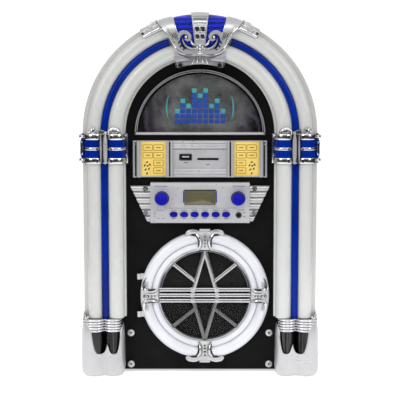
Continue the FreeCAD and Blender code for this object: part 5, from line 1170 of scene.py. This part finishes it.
def make_sockets():
    """The USB port, a dark shell with its bright tongue, and lips round it and the card slot."""
    port, slot = Place("usb_port"), Place("card_slot")
    wide, tall = port.half_wide, port.half_tall
    piece = Piece("usb_port_shell")
    piece.add(slot_frame(port, (wide - 0.7, tall - 0.6), (wide, tall), port.front, port.back), DARK_PLASTIC)
    floor = rounded(port.left + 0.7, port.bottom + 0.6, port.right - 0.7, port.top - 0.6, 0.3, 3)
    piece.add(plate(floor, port.back - 2, port.back - 0.2, 0.1), SHADOW)
    tongue = rounded(port.left + 2.4, port.z - 0.5, port.right - 2.4, port.z + 1.1, 0.3, 3)
    piece.add(plate(tongue, port.front + 0.5, port.back - 1.8, 0.2), SILVER)
    piece.build("cabinet", "steel_plate", "usb_port")
    lips = Piece("socket_lips")
    lips.add(slot_frame(port, (wide - 0.4, tall - 0.4), (wide + 0.7, tall + 0.9), port.front - 0.4,
                        port.front + 0.3), DARK_PLASTIC)
    wide, tall = slot.half_wide, slot.half_tall
    lips.add(slot_frame(slot, (wide - 0.8, tall - 0.8), (wide + 0.4, tall + 0.4), slot.front - 0.35,
                        slot.front - 0.02), SILVER)
    for x, z, half in ((port.x, port.bottom - 3.4, 2.2), (slot.x, slot.bottom - 4.4, 2.0)):
        lips.add(level_rod(x - half, x + half, slot.front + 0.1, z, 0.4, 0.1), DARK_METAL_AND_SHADE)
    lips.build("cabinet", "silver_trim")


# ---------------------------------------------------------------- control panel

control = Place("control_panel")
display = Place("display_window")


KNOBS = ("tuning_knob", "volume_knob")
BUTTONS = [f"button_{n}" for n in range(1, 7)]


def add_display_bezel(piece):
    """A bright sill, a dark lintel of painted shade and two blue tabs at the display, and a ring of painted
    shadow under each knob.
    """
    front = control.front
    left, right = display.left - 0.6, display.right + 0.6
    piece.add(level_rod(left, right, front - 0.2, display.bottom - 0.6, 0.9, 0.8, 12), SATIN_CHROME)
    piece.add(level_rod(left, right, front - 0.1, display.top + 0.3, 0.5, 0.5, 12), SHADOW)
    for name in KNOBS:
        knob = Place(name)
        inside, outside = knob.half_wide - 1, knob.half_wide + 0.7
        piece.add(lathe([(inside, front + 0.1), (inside, front - 0.1), (outside, front - 0.1),
                         (outside, front + 0.1)], knob.x, knob.z, closed=True), SHADOW)
    for x in (left - 0.3, right + 0.3):
        tab = rounded(x - 0.6, display.bottom + 3.0, x + 0.6, display.top - 0.6, 0.4, 3)
        piece.add(plate(tab, front - 0.5, front + 0.4, 0.2), CONTROL_BLUE)


def add_control_lines(piece):
    """Blue lines over the knobs, a fine line under the display, and dashes where the legends are."""
    front, low = control.front, control.bottom
    for side in (-1, 1):
        left, right = sorted((side * 37.5, side * 52.5))
        piece.add(level_rod(left, right, front + 0.1, control.top - 3.6, 0.32, 0.25), CONTROL_BLUE)
    piece.add(level_rod(-41, 43, front, low + 17.2, 0.22, 0.12), SATIN_CHROME)
    dashes = [(Place(name).x, z, half) for name in BUTTONS for z, half in ((14.8, 3.3), (5.0, 2.2))]
    dashes += [(-46.0, 14.8, 3.8), (-52.4, 12.6, 1.4), (-52.4, 10.2, 1.4), (-52.4, 7.8, 1.4),
               (-47.6, 5.4, 1.6), (-42.6, 5.4, 1.8), (47.0, 15.0, 4.4), (50.8, 11.8, 1.4), (50.8, 7.4, 1.8)]
    for x, z, half in dashes:
        piece.add(level_rod(x - half, x + half, front - 0.01, low + z, 0.26, 0.06), DARK_METAL_AND_SHADE)


def make_controls():
    piece = Piece("control_panel_trim")
    add_display_bezel(piece)
    add_control_lines(piece)
    piece.build("cabinet", "silver_trim")
    make_display()
    for name in KNOBS:
        make_knob(name)
    for name in BUTTONS:
        make_button(name)
    make_jack()
    make_ribbed_wings()


def make_display():
    """The olive display, slightly sunk, with the faint cells of an unlit readout."""
    piece = Piece("display_glass")
    glass = rounded(display.left, display.bottom, display.right, display.top, 1.4)
    piece.add(plate(glass, display.front, display.back, 0.35), LCD)
    cell_wide, cell_tall = 4.2, 7.4
    y = display.front - 0.01
    for n in range(5):
        x = display.x + (n - 2) * 6.2
        for z in (display.z - cell_tall / 2, display.z, display.z + cell_tall / 2):
            piece.add(level_rod(x - cell_wide / 2, x + cell_wide / 2, y, z, 0.3, 0.04), CELL)
    piece.build("cabinet", "display_lens", "display_window")


def make_knob(name):
    """A blue knob with a fluted edge, a dished face and a pointer line, on a narrow hub."""
    spot = Place(name)
    piece = Piece(name + "_cap")
    radius = spot.half_wide
    flutes, count = 36, 144
    rows = []
    for r, y, fluted in ((radius - 0.5, spot.front + 9.3, 0), (radius, spot.front + 8.6, 1),
                         (radius - 0.1, spot.front + 2.2, 1), (radius - 0.35, spot.front + 0.9, 1),
                         (radius - 1.0, spot.front + 0.2, 0.4), (radius - 1.7, spot.front, 0),
                         (radius - 2.6, spot.front + 0.15, 0), (0.5 * radius, spot.front + 0.5, 0),
                         (0.02, spot.front + 0.6, 0)):
        row = []
        for k in range(count):
            a = math.tau * k / count
            reach = r - 0.16 * fluted * (1 - math.cos(flutes * a))
            row.append((spot.x + reach * math.cos(a), y, spot.z + reach * math.sin(a)))
        rows.append(row)
    piece.add(sheet(rows, wrap_columns=True, caps=True), CONTROL_BLUE)
    base = spot.front + 9.3
    piece.add(lathe([(2.9, spot.back), (2.9, base), (radius - 0.6, base), (radius - 0.6, base - 0.4),
                     (0.02, base - 0.4)], spot.x, spot.z, count=48), CONTROL_BLUE)
    pointer = [(spot.x, spot.front + 0.1, spot.z + share * radius) for share in (0.52, 0.8)]
    piece.add(strand(pointer, 0.35, 0.12, sides=8), STRIPE_BLUE)
    piece.build(name + "_body", "control_blue", name)


def make_button(name):
    """An oval blue button with a domed face."""
    spot = Place(name)
    piece = Piece(name + "_cap")
    wide, tall = 4.15, 3.05
    rows = []
    for share, y in ((0.98, control.front + 1.8), (1.0, spot.front + 1.2), (0.97, spot.front + 0.5),
                     (0.88, spot.front + 0.15), (0.6, spot.front), (0.02, spot.front - 0.05)):
        rows.append([(spot.x + share * wide * math.cos(a), y, spot.z + share * tall * math.sin(a))
                     for a in steps(0, math.tau, 41)[:-1]])
    piece.add(sheet(rows, wrap_columns=True, caps=True), CONTROL_BLUE)
    piece.build(name + "_body", "control_blue", name)


def make_jack():
    """The audio jack: a dark plated nut with a lip round a dark hole."""
    spot = Place("audio_jack")
    piece = Piece("audio_jack_nut")
    radius = spot.half_wide
    nut = [(radius, control.front + 0.1), (radius, spot.front + 0.3), (radius - 0.4, spot.front),
           (radius - 1.2, spot.front + 0.1), (radius - 1.5, spot.front + 0.5), (1.9, spot.front + 0.3),
           (1.8, spot.front + 12), (1.9, spot.front + 12.5), (radius, spot.front + 12.5)]
    piece.add(lathe(nut, spot.x, spot.z, closed=True, count=48), DARK_METAL_AND_SHADE)
    hole = [(1.78, spot.front + 6), (1.78, spot.front + 3.2), (0.02, spot.front + 3.2)]
    piece.add(lathe(hole, spot.x, spot.z, count=32), SHADOW)
    piece.build("cabinet", "screw_steel", "audio_jack")


RIB_SLANT = 0.48
WING_SCREW_X = 63.0


def make_ribbed_wings():
    """Bright ribs with slanting outer ends and two screws, on each side of the control panel."""
    wings = Place("panel_wings")
    piece = Piece("panel_wing_ribs")
    ribs = 6
    pitch = (wings.top - wings.bottom) / ribs
    inner = control.right + 0.4
    for side in (-1, 1):
        backing = [(inner, wings.bottom + 1), (inner + 5, wings.bottom + 1), (wings.far - 2, wings.top - 1.5),
                   (inner, wings.top - 1.5)]
        piece.add(plate([(side * x, z) for x, z in backing], PANEL - 3.4, PANEL, 0.3), SHADOW)
        for n in range(ribs):
            middle = wings.top - pitch * (n + 0.5)
            rows = []
            for share in (0.0, 0.1, 0.5, 0.93, 0.98, 1.0):
                swell = 0.7 if share == 1 else 1.0
                row = []
                for turn in steps(0, math.pi, 15):
                    z = middle + 0.49 * pitch * swell * math.cos(turn)
                    reach = wings.far - 0.3 - RIB_SLANT * (wings.top - z)
                    depth = PANEL - 3.4 - 3.4 * swell * math.sin(turn)
                    row.append((side * blend(inner, reach, share), depth, z))
                rows.append(row)
            piece.add(sheet(rows, wrap_columns=True, caps=True), PALE_PLATING)
        for row in (0.5, 4.5):
            x, z = WING_SCREW_X, wings.top - pitch * row
            piece.add(lathe([(3.1, PANEL - 4.5), (3.1, PANEL - 7.9), (2.6, PANEL - 8.5), (2.1, PANEL - 8.3),
                             (2.1, PANEL - 4.5)], side * x, z, closed=True, count=28), CHROME)
            # Painted shade on the screw heads, sunk inside their bright collars.
            screw_head(piece, side * x, z, PANEL - 8.4, 2.1, PAINTED_SHADE_CHROME, SHADOW)
    piece.build("cabinet", "chrome_trim", "panel_wings")


# ---------------------------------------------------------------- dome window

dome = Place("dome_frame")


def half_oval(wide, tall, base, y):
    """Points on the upper half of an oval that stands at the height base."""
    return [(wide * math.cos(a), y, base + tall * math.sin(a)) for a in steps(0.0, math.pi, 61)]


def make_dome():
    piece = Piece("dome_frame_rim")
    radius = dome.right
    tall = dome.top - dome.bottom
    front, back = dome.front + 1.6, dome.back
    outer, inner = (radius, tall, dome.bottom), (radius - 3.4, tall - 6.0, dome.bottom + 3.0)
    rows = [half_oval(*outer, back), half_oval(*outer, front), half_oval(*inner, front),
            half_oval(*inner, back)]
    # Painted shade: the rim between its two bright lines is dark grey.
    piece.add(sheet(rows, wrap_rows=True, wrap_columns=True), DARK_METAL_AND_SHADE)
    for drop, wide in ((0.8, 0.6), (2.9, 0.5)):
        line = half_oval(radius - drop, tall - 2 * drop, dome.bottom + drop, dome.front + 1.4)
        piece.add(strand(line, wide, 1.1, closed=True, sides=10), PALE_PLATING)
    sill = level_rod(2 - radius, radius - 2, dome.front + 1.4, dome.bottom + 1.7, 1.4, 1.0, 12)
    piece.add(sill, PALE_PLATING)
    piece.build("cabinet", "silver_trim", "dome_frame", crease=30)
    make_emblem()


def make_emblem():
    """A plain graphic on the backdrop: a level meter's bars between two thin arcs."""
    piece = Piece("dome_emblem")
    card = Place("dome_backdrop")
    y = card.front - 0.25
    base = dome.bottom + 13.0
    pitch, tall = 6.6, 5.0
    levels = [3, 5, 4, 7, 6, 7, 4, 5, 3]
    for n, blocks in enumerate(levels):
        x = (n - (len(levels) - 1) / 2) * pitch
        for k in range(blocks):
            low = base + 5.9 * k
            material = TEAL if k == blocks - 1 else PRINT_BLUE
            piece.add(plate(rounded(x - 2.7, low, x + 2.7, low + tall, 0.5, 3), y, y + 0.2, 0.08), material)
    for side in (-1, 1):
        arc_line = [(side * (34.5 + 4.0 * math.cos(a)), y + 0.05, base + 18 + 15 * math.sin(a))
                    for a in steps(-1.1, 1.1, 17)]
        piece.add(strand(arc_line, [0.3, 0.9, 0.3], 0.1, sides=6), TEAL)
    piece.build("cabinet", "backdrop_card")


# ---------------------------------------------------------------- sides and back


LUG_X = 80.8
LUG_HEIGHTS = (8.9, 46.2)


def make_lug_screws():
    """Raised rims and cross recesses on the four big screws beside the door."""
    piece = Piece("lug_screw_heads")
    for x in (-LUG_X, LUG_X):
        for z in LUG_HEIGHTS:
            screw_head(piece, x, z, PANEL - 3.9, 3.1, SCREW_STEEL, SHADOW)
            piece.add(lathe([(3.95, PANEL - 0.2), (3.95, PANEL - 2.6), (3.3, PANEL - 3.3), (3.0, PANEL - 2.4),
                             (3.0, PANEL - 0.2)], x, z, closed=True, count=32), PALE_PLATING)
    piece.build("cabinet", "screw_steel")


def make_speaker_grilles():
    """Round side grilles: a rolled rim with a field of raised concentric ribs and spokes."""
    spot = Place("speaker_grilles")
    piece = Piece("side_grilles")
    radius = spot.half_tall
    wall = Place("cabinet_shell").right

    def point(side, height, r, turn):
        """A point at a height above the wall, r from the speaker's axis."""
        return side * (wall + height), spot.y + r * math.cos(turn), spot.z + r * math.sin(turn)

    def disc(profile, side):
        """A profile of (radius, height above the wall) turned about the speaker's axis."""
        count = 72
        rows = [[point(side, h, r, math.tau * k / count) for k in range(count)] for r, h in profile]
        return sheet(rows, wrap_rows=True, wrap_columns=True)

    for side in (-1, 1):
        rim = [(radius, 0.05), (radius, 1.2), (radius - 1.2, 2.0), (radius - 4, 2.0), (radius - 5, 1.2),
               (radius - 5, 0.05)]
        piece.add(disc(rim, side), DARK_PLASTIC)
        piece.add(disc([(radius - 4.5, 0.05), (radius - 4.5, 0.6), (0.1, 0.6), (0.1, 0.05)], side), SHADOW)
        for r in steps(5, radius - 7.5, 7):
            piece.add(disc([(r + 0.9, 0.5), (r + 0.9, 1.3), (r + 0.4, 1.6), (r - 0.4, 1.6), (r - 0.9, 1.3),
                            (r - 0.9, 0.5)], side), DARK_PLASTIC)
        for k in range(8):
            ends = [point(side, 1.2, r, math.tau * k / 8) for r in (3, radius - 4.5)]
            piece.add(strand(ends, 1.0, 0.5, Vector((side, 0, 0)), 8), DARK_PLASTIC)
    piece.build("cabinet", "dark_plastic", "speaker_grilles")


def make_back_trim():
    """A raised line inside the rear cover's edge, and rims at the socket and switch."""
    cover = Place("rear_cover")
    piece = Piece("rear_cover_trim")

    def bar(outline, lift, wide, tall):
        line = flat(outline, cover.back + lift)
        return strand(line, wide, tall, Vector((0, 1, 0)), 8, closed=True)

    for spot, grow in ((Place("dc_socket"), 2.0), (Place("power_switch"), 0.0)):
        rim = rounded(spot.left - grow, spot.bottom - grow, spot.right + grow, spot.top + grow,
                      spot.half_wide - 1 if grow else 1.5)
        piece.add(bar(rim, 0.25, 0.7, 0.45), DARK_PLASTIC)
    right, low = cover.right - 5, cover.bottom + 5
    over = [(right * math.cos(a), ARCH_Z + right * math.sin(a)) for a in steps(0.0, math.pi, 49)]
    piece.add(bar([(right, low), *over, (-right, low)], 0.1, 0.9, 0.5), CABINET_BLACK)
    piece.build("cabinet", "cabinet_black")


# ---------------------------------------------------------------- CAD nodes that keep their shape

KEPT = {
    CABINET_BLACK: ["cabinet_shell", "rear_cover"],
    PANEL_BLACK: ["front_panel", "hinge_brackets"],
    RUBBER: ["rubber_feet"],
    TUBE_WHITE: ["left_column_tubes", "right_column_tubes", "arch_tubes"],
    RING_WHITE: ["door_ring"],
    STRIPE_BLUE: ["column_stripes", "arch_stripe", "collar_inlays"],
    CLEAR: ["dome_window"],
    SMOKED_CLEAR: ["door_window"],
    FOIL: ["dome_backdrop"],
    SILVER: ["selection_panel", "control_panel", "door_knuckles"],
    STEEL: ["cd_motors"],
    SCREW_STEEL: ["hinge_pins", "case_screws", "sled_rails"],
    DARK_PLASTIC: ["card_slot", "rotary_controls", "dc_socket", "power_switch", "power_rocker", "sled_gear",
                   "turntable_hub", "laser_sled"],
    DECK_GREY: ["cd_deck"],
    BOARD: ["control_board", "main_board", "led_strips"],
    DARK_METAL_AND_SHADE: ["door_catch", "speaker_drivers"],
    CONE: ["speaker_cones"],
}


def dress_kept_nodes():
    for material, names in KEPT.items():
        for name in names:
            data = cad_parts[name].data
            data.materials.clear()
            data.materials.append(material)


# ---------------------------------------------------------------- stage


def add_camera():
    data = bpy.data.cameras.new("camera")
    data.lens = 117.4
    data.sensor_width = 36.0
    camera = bpy.data.objects.new("camera", data)
    camera.location = (0.0, -1.560, 0.377)
    camera.rotation_euler = (math.radians(83.4), 0.0, 0.0)
    bpy.context.scene.collection.objects.link(camera)
    bpy.context.scene.camera = camera


def add_light(name, place, target, size, power):
    data = bpy.data.lights.new(name, "AREA")
    data.shape = "RECTANGLE"
    data.size, data.size_y = size
    data.energy = power
    light = bpy.data.objects.new(name, data)
    light.location = place
    light.rotation_euler = (Vector(target) - Vector(place)).to_track_quat("-Z", "Y").to_euler()
    bpy.context.scene.collection.objects.link(light)


def add_world():
    """White to the camera. To everything else a studio: a bright ceiling, a dark band at eye level and a
    pale ground, so that plated parts have something to reflect."""
    world = bpy.data.worlds.new("studio")
    world.use_nodes = True
    bpy.context.scene.world = world
    tree = world.node_tree
    ground = tree.nodes["Background"]
    source = tree.nodes.new("ShaderNodeTexCoord")
    parts = tree.nodes.new("ShaderNodeSeparateXYZ")
    tree.links.new(source.outputs["Generated"], parts.inputs["Vector"])
    height = tree.nodes.new("ShaderNodeMapRange")
    height.inputs["From Min"].default_value = -1.0
    height.inputs["From Max"].default_value = 1.0
    tree.links.new(parts.outputs["Z"], height.inputs["Value"])
    stops = [(0.20, grey(0.70)), (0.34, grey(0.30)), (0.41, grey(0.05)), (0.56, grey(0.03)),
             (0.63, grey(0.45)), (0.72, grey(1.0))]
    tree.links.new(ramp(tree, height.outputs["Result"], stops), ground.inputs["Color"])
    ground.inputs["Strength"].default_value = 0.75
    white = tree.nodes.new("ShaderNodeBackground")
    white.inputs["Color"].default_value = (1, 1, 1, 1)
    white.inputs["Strength"].default_value = 1.1
    path = tree.nodes.new("ShaderNodeLightPath")
    mix = tree.nodes.new("ShaderNodeMixShader")
    tree.links.new(path.outputs["Is Camera Ray"], mix.inputs["Fac"])
    tree.links.new(ground.outputs["Background"], mix.inputs[1])
    tree.links.new(white.outputs["Background"], mix.inputs[2])
    tree.links.new(mix.outputs["Shader"], tree.nodes["World Output"].inputs["Surface"])


def add_floor():
    """A round pale floor, small enough that upright faces mirror the dark band beyond it."""
    radius, count = 0.8, 96
    mesh = bpy.data.meshes.new("floor")
    mesh.from_pydata([(radius * math.cos(math.tau * k / count), radius * math.sin(math.tau * k / count), 0)
                      for k in range(count)], [], [list(range(count))])
    floor_finish = finish_of("floor_pale", grey(0.90), grey(0.94), (0.7, 0.9), 40, tone=1.5, depth=0.01,
                             strength=0.1, Emission_Color=(1, 1, 1, 1), Emission_Strength=0.5)
    mesh.materials.append(floor_finish)
    floor = bpy.data.objects.new("floor", mesh)
    bpy.context.scene.collection.objects.link(floor)


def add_stage():
    add_camera()
    add_world()
    add_floor()
    middle = (0.0, 0.0, 0.21)
    add_light("key_left", (-1.3, -1.5, 1.1), middle, (1.0, 1.2), 11.0)
    add_light("key_right", (1.4, -1.4, 1.0), middle, (0.9, 1.1), 8.0)
    add_light("front_top", (0.0, -1.5, 1.7), middle, (1.4, 0.6), 8.5)
    add_light("back", (0.0, 2.0, 1.5), middle, (1.8, 1.0), 10.0)
    bpy.context.scene.view_settings.view_transform = "Standard"


# ---------------------------------------------------------------- the whole object

add_stage()
dress_kept_nodes()
for hand_side in (-1, 1):
    make_boot(hand_side)
for hand_side in (-1, 1):
    make_collar(hand_side)
make_crown()
make_door()
make_cards()
make_panel_trim()
make_controls()
make_dome()
make_lug_screws()
make_speaker_grilles()
make_back_trim()
